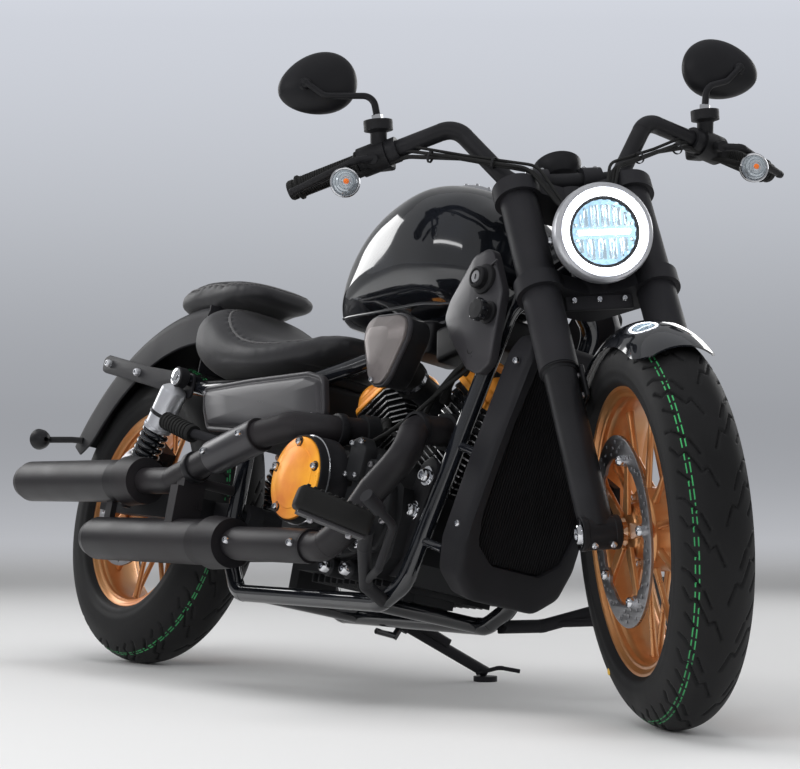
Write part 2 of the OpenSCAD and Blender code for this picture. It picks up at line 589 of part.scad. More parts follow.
module cylinder_barrels() park() color("#26272a") {
    for (s = [-1, 1]) on_bank(s) {
        translate([0, 0, barrel_low]) cylinder(d = 112, h = head_high - barrel_low);
        pitch = (barrel_high - barrel_low - 8) / (fin_count - 1);
        for (k = [0:fin_count - 1]) translate([0, 0, barrel_low + 6 + k * pitch]) fin_plate(fin_x, fin_y, fin_t);
        translate([0, 0, barrel_high]) fin_plate(fin_x - 12, fin_y - 14, head_high - barrel_high);
        for (k = [0:2]) translate([0, 0, barrel_high + 12 + k * 13]) fin_plate(fin_x, fin_y, fin_t);
    }
    rod([crank_x - 120, 0, bank(1, 262).z], [crank_x + 120, 0, bank(1, 262).z], 46);
    rod([crank_x, 0, bank(1, 262).z], intake_end, 52);
    rod(lower_port - lower_way * 44, lower_port, pipe_d + 14);
    rod(upper_port - upper_way * 44, upper_port, pipe_d + 14);
}
module rocker_covers() park() color("#b4572a") for (s = [-1, 1]) on_bank(s) {
    translate([0, 0, head_high + seat_gap]) fin_plate(fin_x + 4, fin_y - 2, 12);
    translate([0, 0, head_high + 11]) fin_plate(fin_x - 10, fin_y - 16, 22);
    for (o = [-lobe_r - 2, lobe_r + 2]) translate([o, 0, cover_high - lobe_r]) rotate([90, 0, 0])
        cylinder(r = lobe_r, h = fin_y - 24, center = true);
}
air_at = [1018, -186, 580];
intake_end = [crank_x + 16, -100, 548];
intake_way = unit(intake_end - [crank_x, 0, bank(1, 262).z]);
module air_plan(k) {
    polygon([for (p = [[-66, 44], [-56, 62], [-34, 68], [34, 68], [56, 62], [66, 44], [64, 22], [30, -48],
        [14, -64], [-14, -64], [-30, -48], [-64, 22]]) p * k]);
}
module air_cleaner() park() color("#6d6a68") {
    rod(intake_end + intake_way * seat_gap, intake_end + intake_way * 54, 60);
    translate(air_at) rotate([90, 0, 0]) {
        translate([0, 0, -38]) linear_extrude(46) air_plan(0.94);
        translate([0, 0, 8]) linear_extrude(10) air_plan(1);
        translate([0, 0, 18]) linear_extrude(7) air_plan(0.86);
    }
}
belt_t = 4;
function arc(x, r, from, to, n) = [for (k = [0:n]) let (t = from + (to - from) * k / n) [x + r * cos(t), r * sin(t)]];
belt_span = norm([front_pulley.x, crank_z - rear_axle.z]);
belt_lean = asin((rear_pulley_r - front_pulley_r) / belt_span);
module belt_loop(gap) {
    polygon(concat(arc(0, rear_pulley_r + gap, 90 - belt_lean, 270 + belt_lean, 24),
        arc(belt_span, front_pulley_r + gap, belt_lean - 90, 90 - belt_lean, 16)));
}
module drive_belt() park() color("#141415")
    translate([0, pulley_y + pulley_w - 0.5, rear_axle.z]) rotate([90, 0, 0])
        rotate([0, 0, atan2(crank_z - rear_axle.z, front_pulley.x)]) linear_extrude(pulley_w - 1) difference() {
            belt_loop(belt_t + seat_gap);
            belt_loop(seat_gap);
        }

// Exhaust
lower_port = [1092, -94, 458];
upper_port = [836, -94, 462];
lower_bend = [1104, -166, 446];
upper_bend = [828, -158, 454];
lower_way = unit(lower_bend - lower_port);
upper_way = unit(upper_bend - upper_port);
lower_end = [640, -silencer_y, 226];
upper_end = [270, -silencer_y, 344];
upper_knee = [560, -silencer_y, 388];
module silencer(at, slope, l) {
    translate(at) rotate([0, -90 + slope, 0]) difference() {
        union() {
            cylinder(d1 = 74, d2 = silencer_d, h = 60);
            translate([0, 0, -46]) cylinder(d1 = 92, d2 = 100, h = 62);
            translate([0, 0, 59]) cylinder(d = silencer_d, h = l - 84);
            translate([0, 0, l - 26]) cylinder(d1 = silencer_d, d2 = silencer_d - 14, h = 26);
        }
        translate([0, 0, l - 70]) cylinder(d = silencer_d - 26, h = 90);
        translate([0, 0, -60]) cylinder(d = pipe_d + 2 * seat_gap, h = 62);
    }
}
module silencers() park() color("#161616") {
    silencer(upper_end, 0, silencer_l);
    silencer(lower_end, 0, silencer_l + 16);
    for (p = [[post_x, 300, 10], [200, 302, 40]]) translate([p[0], -silencer_y + 18, p[1] - 8])
        cube([16, 12, p[2]]);
    translate([180, -silencer_y - 6, 262]) cube([24, 12, 48]);
    rod([post_x, -silencer_y + 30, 344], [post_x, -rail_y - frame_tube_d / 2 - seat_gap, 344], 20);
    difference() {
        translate([post_x - 14, -silencer_y - 30, 255]) cube([28, 60, 110]);
        rod(upper_knee, [420, -silencer_y, upper_end.z], pipe_d + 2 * seat_gap);
        translate([400, -silencer_y - 40, 330]) cube([120, 22, 80]);
    }
}
module header_pipes() park() color("#191919") difference() {
    union() {
        bent_tube([lower_port + lower_way * seat_gap, lower_bend, [1140, -200, 396], [1086, -217, 330],
            [1046, -231, 258], [990, -silencer_y, lower_end.z], lower_end], pipe_d, 42);
        bent_tube([upper_port + upper_way * seat_gap, upper_bend, [774, -206, 452], [700, -224, 432], upper_knee,
            [420, -silencer_y, upper_end.z], upper_end], pipe_d, 46);
        rod([700, -224, 432], upper_knee, pipe_d + 12);
        rod([950, -silencer_y, lower_end.z], [700, -silencer_y, lower_end.z], pipe_d + 8);
    }
    rod(lower_port, lower_port + lower_way * 44, pipe_d - 2 * pipe_wall);
    rod(upper_port, upper_port + upper_way * 40, pipe_d - 2 * pipe_wall);
}

// Cooling. The shroud's upper corners are hollowed where the fork covers come at full lock.
steer_lock = 36;
cool_foot = [1186, 0, 176];
cool_tilt = 13.4;
cool_h = 456;
cool_way = [cos(cool_tilt), 0, -sin(cool_tilt)];
module on_cooler() {
    translate(cool_foot) rotate([0, cool_tilt, 0]) children();
}
module radiator_core() park() color("#2b2c2e") on_cooler() {
    translate([-16, -88, 84]) cube([30, 176, cool_h - 130]);
    for (k = [0:16]) translate([13, -82 + k * 10, 92]) cube([4, 2.5, cool_h - 146]);
    both_sides() translate([-34, 60, 150]) cube([19, 16, 24]);
    both_sides() translate([-34, 60, 330]) cube([19, 16, 24]);
}
module radiator_shroud() park() color("#1a1b1d") {
    difference() {
        on_cooler() difference() {
            translate([-30, 0, 0]) rotate([90, 0, 90]) linear_extrude(62) polygon([[-70, 0], [70, 0], [112, 34],
                [126, 90], [120, 250], [108, 420], [92, cool_h], [-92, cool_h], [-108, 420], [-120, 250],
                [-126, 90], [-112, 34]]);
            translate([-40, -89, 83]) cube([90, 178, cool_h - 128]);
            translate([12, -96, 74]) cube([30, 192, cool_h - 112]);
        }
        both_sides() rod(down_tube_top + (down_tube_top - down_tube_low) * 0.2,
            down_tube_low - (down_tube_top - down_tube_low) * 0.1, frame_tube_d + 2 * seat_gap);
        both_sides() translate(steer_foot) rotate([0, -rake, 0]) rotate([0, 0, -steer_lock]) rotate([0, rake, 0])
            translate(-steer_foot) rod(on_leg(520) - [0, leg_y, 0], on_leg(760) - [0, leg_y, 0], fork_cover_d + 12);
    }
    on_cooler() both_sides() {
        translate([-30, 89.4, 300]) cube([20, 16, 30]);
        translate([-30, 89.4, 120]) cube([20, 16, 30]);
    }
}

// Bodywork
neck_in = 120;
module neck_covers() park() both_sides() color("#2b2c30") {
    translate([0, neck_in, 0]) rotate([90, 0, 0]) translate([0, 0, -16]) linear_extrude(16) polygon([[1196, 772],
        [1150, 760], [1100, 682], [1092, 650], [1120, 612], [1180, 556], [1216, 544], [1244, 566], [1246, 690]]);
    translate([0, neck_in + 15, 0]) rotate([90, 0, 0]) translate([0, 0, -8]) linear_extrude(8) polygon([[1190, 752],
        [1156, 744], [1116, 680], [1112, 656], [1132, 626], [1186, 572], [1212, 562], [1232, 578], [1234, 684]]);
    translate([1190, neck_in + 16, 706]) rotate([-90, 0, 0]) cylinder(d = 36, h = 22);
}
tank_rows = [
    [646, 44, 684, 702], [664, 70, 682, 732], [696, 96, 682, 784], [740, 118, 682, 838], [800, 138, 682, 886],
    [870, 152, 684, 918], [950, tank_half_w, 686, tank_top_z], [1030, tank_half_w - 6, 682, tank_top_z - 16],
    [1084, 132, 690, 884], [1110, 104, 706, 856], [1122, 74, 730, 828]];
module fuel_tank() park() color("#0c0d0f") difference() {
    loft([for (r = tank_rows) oval(r[0], 0, r[1], r[2], r[3], 2.5, 32)]);
    rod(backbone_front, backbone_rear - unit(backbone_front - backbone_rear) * 90, backbone_d + 2 * seat_gap);
    translate([680, -backbone_d / 2 + 3, 600]) cube([460, backbone_d - 6, 70]);
    translate([cap_at.x, 0, tank_top_z - 14]) cylinder(d = 60, h = 40);
}
cap_at = [935, 0, tank_top_z];
module fuel_cap() park() color("#101011") {
    translate([cap_at.x, 0, tank_top_z - 14 + seat_gap]) cylinder(d = 59, h = 17);
    translate([cap_at.x, 0, tank_top_z + 2]) cylinder(d1 = 74, d2 = 62, h = 10);
}
seat_base_z = seat_rail_z + frame_tube_d / 2 + seat_gap;
seat_rows = [
    [206, 108, 640, 700], [222, 134, 606, 738], [264, 150, 586, 745], [318, seat_half_w, 580, 718],
    [392, seat_half_w, 578, 678], [478, 154, 578, 660], [564, 138, 590, 658], [632, 112, 616, 664],
    [672, 86, 632, 668], [690, 62, 642, 664]];
module rider_seat() park() color("#161616") {
    loft([for (r = seat_rows) oval(r[0], 0, r[1], r[2], r[3], 2.6, 32)]);
    translate([302, -128, seat_base_z]) cube([268, 256, 34]);
}
pillion_rows = [
    [28, 60, 748, 776], [40, 82, 742, 792], [76, 94, 738, 806], [140, 98, 740, 812], [240, 96, 746, 808],
    [310, 84, 750, 798], [336, 66, 756, 790], [344, 44, 762, 782]];
module pillion_seat() park() color("#161616") difference() {
    union() {
        loft([for (r = pillion_rows) oval(r[0], 0, r[1], r[2], r[3], 2.8, 32)]);
        translate([60, -56, 700]) cube([130, 112, 70]);
    }
    translate(fender_at) rotate([90, 0, 0]) cylinder(r = rear_fender_r + seat_gap, h = 400, center = true, $fn = 128);
}
fender_at = [190, 0, 175];
fender_rear_end = 150;
fender_front_end = 89.4;
skirt_depth = 84;
tail_bolt_gap = 60;
tail_bolt_angle = 143;
module rear_fender() park() color("#0f1012") difference() {
    union() {
        fender_sheet();
        translate([193, 2 - rear_fender_half_w, 602]) cube([4, 2 * rear_fender_half_w - 4, 148]);
    }
    both_sides() translate(fender_at + [0, tail_bolt_gap / 2, 0]) rotate([0, 90 - tail_bolt_angle, 0])
        translate([0, 0, rear_fender_r - 20]) cylinder(d = 7, h = 40);
}
module fender_sheet() translate(fender_at) rotate([90, 0, 0])
    rotate([0, 0, fender_front_end]) rotate_extrude(angle = fender_rear_end - fender_front_end, $fn = 128)
        polygon([[rear_fender_r - skirt_depth, rear_fender_half_w], [rear_fender_r - 22, rear_fender_half_w],
            [rear_fender_r - 6, rear_fender_half_w - 10], [rear_fender_r, rear_fender_half_w - 30],
            [rear_fender_r, 30 - rear_fender_half_w], [rear_fender_r - 6, 10 - rear_fender_half_w],
            [rear_fender_r - 22, -rear_fender_half_w], [rear_fender_r - skirt_depth, -rear_fender_half_w],
            [rear_fender_r - skirt_depth, sheet_t - rear_fender_half_w], [rear_fender_r - 24, sheet_t - rear_fender_half_w],
            [rear_fender_r - 10, 14 - rear_fender_half_w], [rear_fender_r - sheet_t, 32 - rear_fender_half_w],
            [rear_fender_r - sheet_t, rear_fender_half_w - 32], [rear_fender_r - 10, rear_fender_half_w - 14],
            [rear_fender_r - 24, rear_fender_half_w - sheet_t], [rear_fender_r - skirt_depth, rear_fender_half_w - sheet_t]]);
module off_fender() {
    difference() {
        children();
        translate(fender_at) rotate([90, 0, 0]) cylinder(r = rear_fender_r + seat_gap, h = 400, center = true, $fn = 128);
    }
}
module tail_lamp() park() color("#7d1512") off_fender() translate([-288, -52, 546]) cube([60, 104, 40]);
module rear_indicators() park() both_sides() {
    color("#151516") difference() {
        rod([-262, rear_fender_half_w - 12, 466], [-326, 150, 460], 15);
        translate([-400, -rear_fender_half_w - seat_gap, 400]) cube([200, 2 * (rear_fender_half_w + seat_gap), 120]);
    }
    color("#d9dcde") translate([-332, 162, 456]) sphere(d = 50);
}
side_in = rail_y + frame_tube_d / 2 + seat_gap;
module side_covers() park() both_sides() color("#2b2c30") {
    translate([0, side_in, 0]) rotate([90, 0, 0]) translate([0, 0, -12]) linear_extrude(12) polygon([[318, 556],
        [334, 506], [362, 464], [560, 452], [776, 470], [780, 492], [756, 560], [700, 572], [500, 566]]);
    translate([0, side_in + 11, 0]) rotate([90, 0, 0]) translate([0, 0, -7]) linear_extrude(7) polygon([[334, 548],
        [348, 508], [372, 474], [560, 462], [764, 480], [766, 494], [746, 552], [698, 562], [500, 557]]);
}

// Rider controls, pegs and stand
module foot_controls() park() {
    foot_root = [1040, rail_y, rail_z];
    both_sides() {
        color("#17181a") difference() {
            bent_tube([foot_root, [1084, 196, 168], [1176, 276, 222], [1214, 302, 246]], 24, 30);
            rod([950, rail_y, rail_z], [1100, rail_y, rail_z], frame_tube_d + 2 * seat_gap);
            rod(down_tube_low, [1024, rail_y, rail_z], frame_tube_d + 2 * seat_gap);
        }
        color("#101010") rod([1217, 300, 249], [1166, 408, 273], 42);
        color("#17181a") bent_tube([[1092, 204, 174], [1190, 250, 190], [1262, 286, 256], [1270, 334, 280]], 14, 20);
        color("#101010") rod([1268, 322, 274], [1274, 356, 291], 24);
    }
}
module pillion_pegs() park() both_sides() {
    color("#17181a") difference() {
        bent_tube([[post_x, rail_y, 420], [post_x - 20, 176, 434], [404, 196, 446], [378, 200, 452]], 20, 20);
        rod([post_x, rail_y, 300], [post_x, rail_y, 440], frame_tube_d + 2 * seat_gap);
        rod([post_x, rail_y, 438], [post_x - 40, seat_rail_y, seat_rail_z], frame_tube_d + 2 * seat_gap);
    }
    color("#101010") rod([400, 197, 446], [316, 212, 470], 30);
}
module rear_caliper() park() translate(rear_axle) rotate([0, -rear_caliper_angle, 0]) caliper(rear_disc_d / 2, rear_disc_y);

// Side stand: pivot, planted foot and folded foot directions
stand_pivot = [700, 166, 148];
function unpark(p) = spin_x(turn(p, [0, 1, 0], -nose_pitch), lean);
stand_foot = unpark([762, 346, rear_low + 5]);
stand_down = stand_foot - stand_pivot;
stand_folded = [-212, 46, 24];
stand_axis = unit(cross(stand_down, stand_folded));
stand_pin_d = 14;
module side_stand() park() {
    color("#1a1b1c") difference() {
        union() {
            rod(stand_pivot - stand_axis * 13, stand_pivot + stand_axis * 13, 34);
            rod(stand_pivot, stand_foot + [0, 0, 12], 22);
            translate(stand_foot) level_at() translate([0, 0, -5]) cylinder(d = 46, h = 10);
        }
        rod(stand_pivot - stand_axis * 38, stand_pivot + stand_axis * 38, stand_pin_d + 2 * running);
    }
    color("#b9bcc0") rod(stand_pivot + stand_down * 0.18 + [10, 0, 14], stand_pivot + stand_down * 0.5 + [12, 0, 16], 17);
    color("#1a1b1c") for (t = [0.2, 0.48]) rod(stand_pivot + stand_down * t, stand_pivot + stand_down * t + [11, 0, 15], 9);
    color("#1a1b1c") bent_tube([stand_pivot + stand_down * 0.9, stand_pivot + stand_down * 0.9 + [56, 8, 16],
        stand_pivot + stand_down * 0.9 + [74, 44, 16]], 8, 14);
}

frame();
swingarm();
rear_shocks();
engine_case();
cylinder_barrels();
rocker_covers();
clutch_cover();
air_cleaner();
drive_belt();
header_pipes();
silencers();
radiator_core();
radiator_shroud();
neck_covers();
fuel_tank();
fuel_cap();
rider_seat();
pillion_seat();
rear_fender();
tail_lamp();
rear_indicators();
side_covers();
foot_controls();
pillion_pegs();
rear_caliper();
side_stand();
rear_rim();
rear_tyre();
rear_disc();
rear_pulley();
yokes();
fork_covers();
fork_legs();
front_fender();
front_caliper();
headlamp_shell();
headlamp_lens();
handlebar();
grips();
bar_controls();
mirrors();
front_indicators();
gauge();
control_cables();
front_rim();
front_tyre();
front_disc();
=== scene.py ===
"""Cruiser motorcycle on its side stand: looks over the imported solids.

Pieces are drawn in millimetres in the upright machine's own frame (X forward, Y to the
rider's left, Z up, rear axle over x = 0) and are then parked: leaned, and for the fork
also turned about the steering axis.
"""
import math

import bmesh
import bpy
import numpy as np
from mathutils import Matrix, Vector
from mathutils.bvhtree import BVHTree


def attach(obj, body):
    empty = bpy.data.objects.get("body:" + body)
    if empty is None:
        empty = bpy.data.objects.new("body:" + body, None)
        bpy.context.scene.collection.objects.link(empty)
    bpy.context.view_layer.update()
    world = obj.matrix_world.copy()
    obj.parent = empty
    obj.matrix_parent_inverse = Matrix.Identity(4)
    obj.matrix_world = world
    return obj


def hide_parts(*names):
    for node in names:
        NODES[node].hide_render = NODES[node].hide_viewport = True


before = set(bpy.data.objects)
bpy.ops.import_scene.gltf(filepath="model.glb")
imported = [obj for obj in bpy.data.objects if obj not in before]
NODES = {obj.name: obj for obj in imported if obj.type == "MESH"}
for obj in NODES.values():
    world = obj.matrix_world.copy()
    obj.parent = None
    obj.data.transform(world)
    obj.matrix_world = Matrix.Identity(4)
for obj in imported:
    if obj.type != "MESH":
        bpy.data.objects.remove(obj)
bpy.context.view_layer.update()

# Stance, in millimetres and degrees, as in the solids
WHEELBASE, LEAN, STEER, RAKE, OFFSET = 1600.0, 12.0, 29.0, 31.0, 38.0
FRONT_D, FRONT_W, FRONT_RIM = 624.0, 120.0, 460.0
REAR_D, REAR_W, REAR_RIM = 646.0, 150.0, 434.0
SHIFT_XY = (763.27, 167.97)


def rot(degrees, axis):
    return Matrix.Rotation(math.radians(degrees), 4, axis)


FRONT_AXLE = Vector((WHEELBASE, 0, FRONT_D / 2))
REAR_AXLE = Vector((0, 0, REAR_D / 2))
STEER_DIR = Vector((-math.sin(math.radians(RAKE)), 0, math.cos(math.radians(RAKE))))
STEER_FWD = Vector((STEER_DIR.z, 0, -STEER_DIR.x))
STEER_FOOT = FRONT_AXLE - OFFSET * STEER_FWD
TURNED = Matrix.Translation(STEER_FOOT) @ rot(-STEER, STEER_DIR) @ Matrix.Translation(-STEER_FOOT)


def tyre_low(centre, axis, d, w):
    return centre.z - (d - w) / 2 * math.sqrt(1 - axis.z**2) - w / 2


REAR_LOW = tyre_low(rot(-LEAN, "X") @ REAR_AXLE, rot(-LEAN, "X") @ Vector((0, 1, 0)), REAR_D, REAR_W)
FRONT_LOW = tyre_low(rot(-LEAN, "X") @ TURNED @ FRONT_AXLE,
                     (rot(-LEAN, "X") @ TURNED).to_3x3() @ Vector((0, 1, 0)), FRONT_D, FRONT_W)
PITCH = math.degrees(math.asin((FRONT_LOW - REAR_LOW) / WHEELBASE))
PARK = (Matrix.Scale(0.001, 4) @ Matrix.Translation((-SHIFT_XY[0], -SHIFT_XY[1], -REAR_LOW))
        @ rot(PITCH, "Y") @ rot(-LEAN, "X"))
PLACE = {"chassis": PARK, "stand": PARK, "rear_wheel": PARK,
         "fork": PARK @ TURNED, "front_wheel": PARK @ TURNED}


def on_steer(z):
    return STEER_FOOT + STEER_DIR * ((z - STEER_FOOT.z) / STEER_DIR.z)


def on_leg(z, y=0.0):
    return FRONT_AXLE + STEER_DIR * ((z - FRONT_AXLE.z) / STEER_DIR.z) + Vector((0, y, 0))


def towards(point, direction, spin=0.0):
    """Frame at a point whose +Z runs along a direction."""
    return (Matrix.Translation(Vector(point)) @ Vector(direction).to_track_quat("Z", "Y").to_matrix().to_4x4()
            @ rot(spin, "Z"))


def sideways(x, y, z):
    """Frame whose local X, Y are the machine's X, Z and whose +Z faces the rider's right."""
    return Matrix.Translation((x, y, z)) @ rot(90, "X")


def flip(m):
    """The same frame on the machine's other side."""
    return Matrix.Scale(-1, 4, (0, 1, 0)) @ m


# Piece making

def finish_piece(ob, mat, body, at=None, node=None, smooth=35.0):
    """Parks a mesh made in upright millimetres, gives it its finish and lets it ride."""
    me = ob.data
    move = PLACE[body] @ (at if at is not None else Matrix.Identity(4))
    me.transform(move)
    if move.determinant() < 0:
        me.flip_normals()
    if smooth:
        me.shade_smooth()
        me.set_sharp_from_angle(angle=math.radians(smooth))
    else:
        me.shade_flat()
    if mat is not None:
        me.materials.clear()
        me.materials.append(mat[0])
    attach(ob, body)
    if node:
        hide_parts(*([node] if isinstance(node, str) else node))
    return ob


def mesh_piece(name, verts, faces, mat, body, at=None, node=None, smooth=35.0, subdiv=0):
    me = bpy.data.meshes.new(name)
    me.from_pydata([tuple(v) for v in verts], [], faces)
    me.validate()
    ob = bpy.data.objects.new(name, me)
    bpy.context.scene.collection.objects.link(ob)
    if subdiv:
        mod = ob.modifiers.new("subdivision", "SUBSURF")
        mod.levels = subdiv
        bake(ob)
    return finish_piece(ob, mat, body, at, node, smooth)


def bake(ob):
    """Turns an object with modifiers into a plain mesh."""
    deps = bpy.context.evaluated_depsgraph_get()
    deps.update()
    me = bpy.data.meshes.new_from_object(ob.evaluated_get(deps))
    me.name = ob.name
    ob.modifiers.clear()
    ob.data = me
    return ob


def box_piece(name, at, size, mat, body, bevel=1.5, node=None):
    """Block with rounded edges in a frame, its size along the frame's axes."""
    bm = bmesh.new()
    bmesh.ops.create_cube(bm, size=1.0)
    bmesh.ops.scale(bm, vec=size, verts=bm.verts)
    bmesh.ops.bevel(bm, geom=bm.edges, offset=min(bevel, 0.45 * min(size)), segments=3, affect="EDGES", profile=0.6)
    me = bpy.data.meshes.new(name)
    bm.to_mesh(me)
    bm.free()
    ob = bpy.data.objects.new(name, me)
    bpy.context.scene.collection.objects.link(ob)
    return finish_piece(ob, mat, body, at, node, 40.0)


def blocks(name, items, mat, body, bevel=1.0, node=None):
    """Rounded blocks of one finish in one piece, from (frame, size) pairs."""
    bm = bmesh.new()
    for at, size in items:
        made = bmesh.ops.create_cube(bm, size=1.0)["verts"]
        bmesh.ops.scale(bm, vec=size, verts=made)
        edges = {e for v in made for e in v.link_edges}
        out = bmesh.ops.bevel(bm, geom=list(edges), offset=min(bevel, 0.4 * min(size)), segments=2, affect="EDGES", profile=0.6)
        bmesh.ops.transform(bm, matrix=at, verts=list({v for f in out["faces"] for v in f.verts}))
    me = bpy.data.meshes.new(name)
    bm.to_mesh(me)
    bm.free()
    ob = bpy.data.objects.new(name, me)
    bpy.context.scene.collection.objects.link(ob)
    return finish_piece(ob, mat, body, node=node, smooth=40.0)


def right_side(y, x=0.0, z=0.0):
    """Frame on the rider's right whose Z looks outwards."""
    return Matrix(((1, 0, 0, x), (0, 0, -1, -y), (0, 1, 0, z), (0, 0, 0, 1)))


def round_path(points, bend, step=12.0):
    """Points of a polyline whose corners are rounded by arcs of one radius."""
    pts = [Vector(p) for p in points]
    out = [pts[0]]
    for a, b, c in zip(pts, pts[1:], pts[2:]):
        u, v = (b - a).normalized(), (c - b).normalized()
        angle = u.angle(v)
        if angle < 0.02:
            out.append(b)
            continue
        r = min(bend, 0.48 * min((b - a).length, (c - b).length) / math.tan(angle / 2))
        back = r * math.tan(angle / 2)
        side = (v - u * u.dot(v)).normalized()
        centre = b - u * back + side * r
        n = max(2, int(math.degrees(angle) / step) + 1)
        out += [centre + r * (u * math.sin(angle * k / n) - side * math.cos(angle * k / n)) for k in range(n + 1)]
    out.append(pts[-1])
    return out


def sweep(path, radii, sides=20, caps=True):
    """Vertices and faces of a tube along a path, its frame carried without twist."""
    verts, faces = [], []
    tangents = []
    for i, p in enumerate(path):
        a, b = path[max(i - 1, 0)], path[min(i + 1, len(path) - 1)]
        tangents.append((b - a).normalized())
    side = tangents[0].orthogonal().normalized()
    for i, (p, t) in enumerate(zip(path, tangents)):
        side = (side - t * side.dot(t)).normalized()
        other = t.cross(side)
        r = radii[i] if isinstance(radii, (list, tuple)) else radii
        for k in range(sides):
            a = 2 * math.pi * k / sides
            verts.append(p + (side * math.cos(a) + other * math.sin(a)) * r)
    for i in range(len(path) - 1):
        for k in range(sides):
            j = (k + 1) % sides
            faces.append((i * sides + k, i * sides + j, (i + 1) * sides + j, (i + 1) * sides + k))
    if caps:
        faces.append(tuple(reversed(range(sides))))
        faces.append(tuple(range((len(path) - 1) * sides, len(path) * sides)))
    return verts, faces


def tube(name, points, r, mat, body, bend=40.0, sides=20, node=None, both=False, step=12.0):
    path = round_path(points, bend, step)
    verts, faces = sweep(path, r, sides)
    if both:
        n = len(verts)
        verts += [Vector((v.x, -v.y, v.z)) for v in verts[:n]]
        faces += [tuple(n + i for i in reversed(f)) for f in faces[:]]
    return mesh_piece(name, verts, faces, mat, body, node=node)


def lathe(name, profile, mat, body, at, n=72, node=None, both=False, smooth=30.0):
    """Turned piece about a frame's +Z, from (radius, height) points."""
    frames = [at, flip(at)] if both else [at]
    verts, faces = [], []
    for m in frames:
        first = len(verts)
        for r, z in profile:
            for k in range(n):
                a = 2 * math.pi * k / n
                verts.append(m @ Vector((max(r, 1e-3) * math.cos(a), max(r, 1e-3) * math.sin(a), z)))
        turned = m.determinant() < 0
        for i in range(len(profile) - 1):
            for k in range(n):
                j = (k + 1) % n
                f = [first + i * n + k, first + i * n + j, first + (i + 1) * n + j, first + (i + 1) * n + k]
                faces.append(tuple(reversed(f)) if turned else tuple(f))
    return mesh_piece(name, verts, faces, mat, body, node=node, smooth=smooth)


def plate(name, loops, thick, mat, body, at, bevel=0.6, node=None, both=False):
    """Flat plate with holes, from closed outlines in a frame's XY plane."""
    curve = bpy.data.curves.new(name, "CURVE")
    curve.dimensions = "2D"
    curve.fill_mode = "BOTH"
    curve.extrude = thick / 2 - bevel
    curve.bevel_depth = bevel
    curve.bevel_resolution = 2
    curve.offset = -bevel
    for loop in loops:
        spline = curve.splines.new("POLY")
        spline.points.add(len(loop) - 1)
        spline.points.foreach_set("co", [c for p in loop for c in (p[0], p[1], 0.0, 1.0)])
        spline.use_cyclic_u = True
    ob = bpy.data.objects.new(name, curve)
    bpy.context.scene.collection.objects.link(ob)
    deps = bpy.context.evaluated_depsgraph_get()
    me = bpy.data.meshes.new_from_object(ob.evaluated_get(deps))
    bpy.data.objects.remove(ob)
    bm = bmesh.new()
    bm.from_mesh(me)
    bmesh.ops.remove_doubles(bm, verts=bm.verts, dist=0.01)
    if both:
        half = bm.copy()
        bmesh.ops.transform(bm, matrix=at, verts=bm.verts)
        bmesh.ops.transform(half, matrix=flip(at), verts=half.verts)
        bmesh.ops.reverse_faces(half, faces=half.faces)
        spare = bpy.data.meshes.new(name + "_half")
        half.to_mesh(spare)
        bm.from_mesh(spare)
        half.free()
        bpy.data.meshes.remove(spare)
        at = None
    bm.to_mesh(me)
    bm.free()
    ob = bpy.data.objects.new(name, me)
    bpy.context.scene.collection.objects.link(ob)
    return finish_piece(ob, mat, body, at, node, 30.0)


def circle(r, n=48, centre=(0.0, 0.0), start=0.0):
    return [(centre[0] + r * math.cos(start + 2 * math.pi * k / n),
             centre[1] + r * math.sin(start + 2 * math.pi * k / n)) for k in range(n)]


def rounded(corners, r, n=5):
    """Closed outline with its corners rounded."""
    out = []
    pts = [Vector(p) for p in corners]
    for i, b in enumerate(pts):
        a, c = pts[i - 1], pts[(i + 1) % len(pts)]
        u, v = (b - a).normalized(), (c - b).normalized()
        angle = abs(u.angle_signed(v))
        back = min(r * math.tan(angle / 2), 0.45 * (b - a).length, 0.45 * (c - b).length)
        p, q = b - u * back, b + v * back
        for k in range(n + 1):
            t = k / n
            s = p.lerp(b, t).lerp(b.lerp(q, t), t)
            out.append((s.x, s.y))
    return out


def pillow(name, outline, rows, mat, body, at, node=None, both=False, smooth=50.0):
    """Panel over an outline, from (inset, height) rows, closed by a crowned middle."""
    pts = [Vector((p[0], p[1])) for p in outline]
    n = len(pts)
    area = sum(a.x * b.y - b.x * a.y for a, b in zip(pts, pts[1:] + pts[:1]))
    if area < 0:
        pts.reverse()
    normals = []
    for i in range(n):
        t = (pts[(i + 1) % n] - pts[i - 1]).normalized()
        normals.append(Vector((-t.y, t.x)))
    middle = sum(pts, Vector((0, 0))) / n
    frames = [at, flip(at)] if both else [at]
    verts, faces = [], []
    for m in frames:
        first = len(verts)
        turned = m.determinant() < 0
        ring = []
        for inset, height in rows:
            if inset < 0:
                ring.append([(p.lerp(middle, -inset), height) for p in ring_base])
            else:
                ring_base = [p + q * inset for p, q in zip(pts, normals)]
                ring.append([(p, height) for p in ring_base])
        for row in ring:
            verts += [m @ Vector((p.x, p.y, h)) for p, h in row]
        for i in range(len(ring) - 1):
            for k in range(n):
                j = (k + 1) % n
                f = [first + i * n + k, first + i * n + j, first + (i + 1) * n + j, first + (i + 1) * n + k]
                faces.append(tuple(reversed(f)) if turned else tuple(f))
        for i, flipped in ((0, True), (len(ring) - 1, False)):
            f = [first + i * n + k for k in range(n)]
            faces.append(tuple(reversed(f)) if flipped != turned else tuple(f))
    return mesh_piece(name, verts, faces, mat, body, node=node, smooth=smooth)


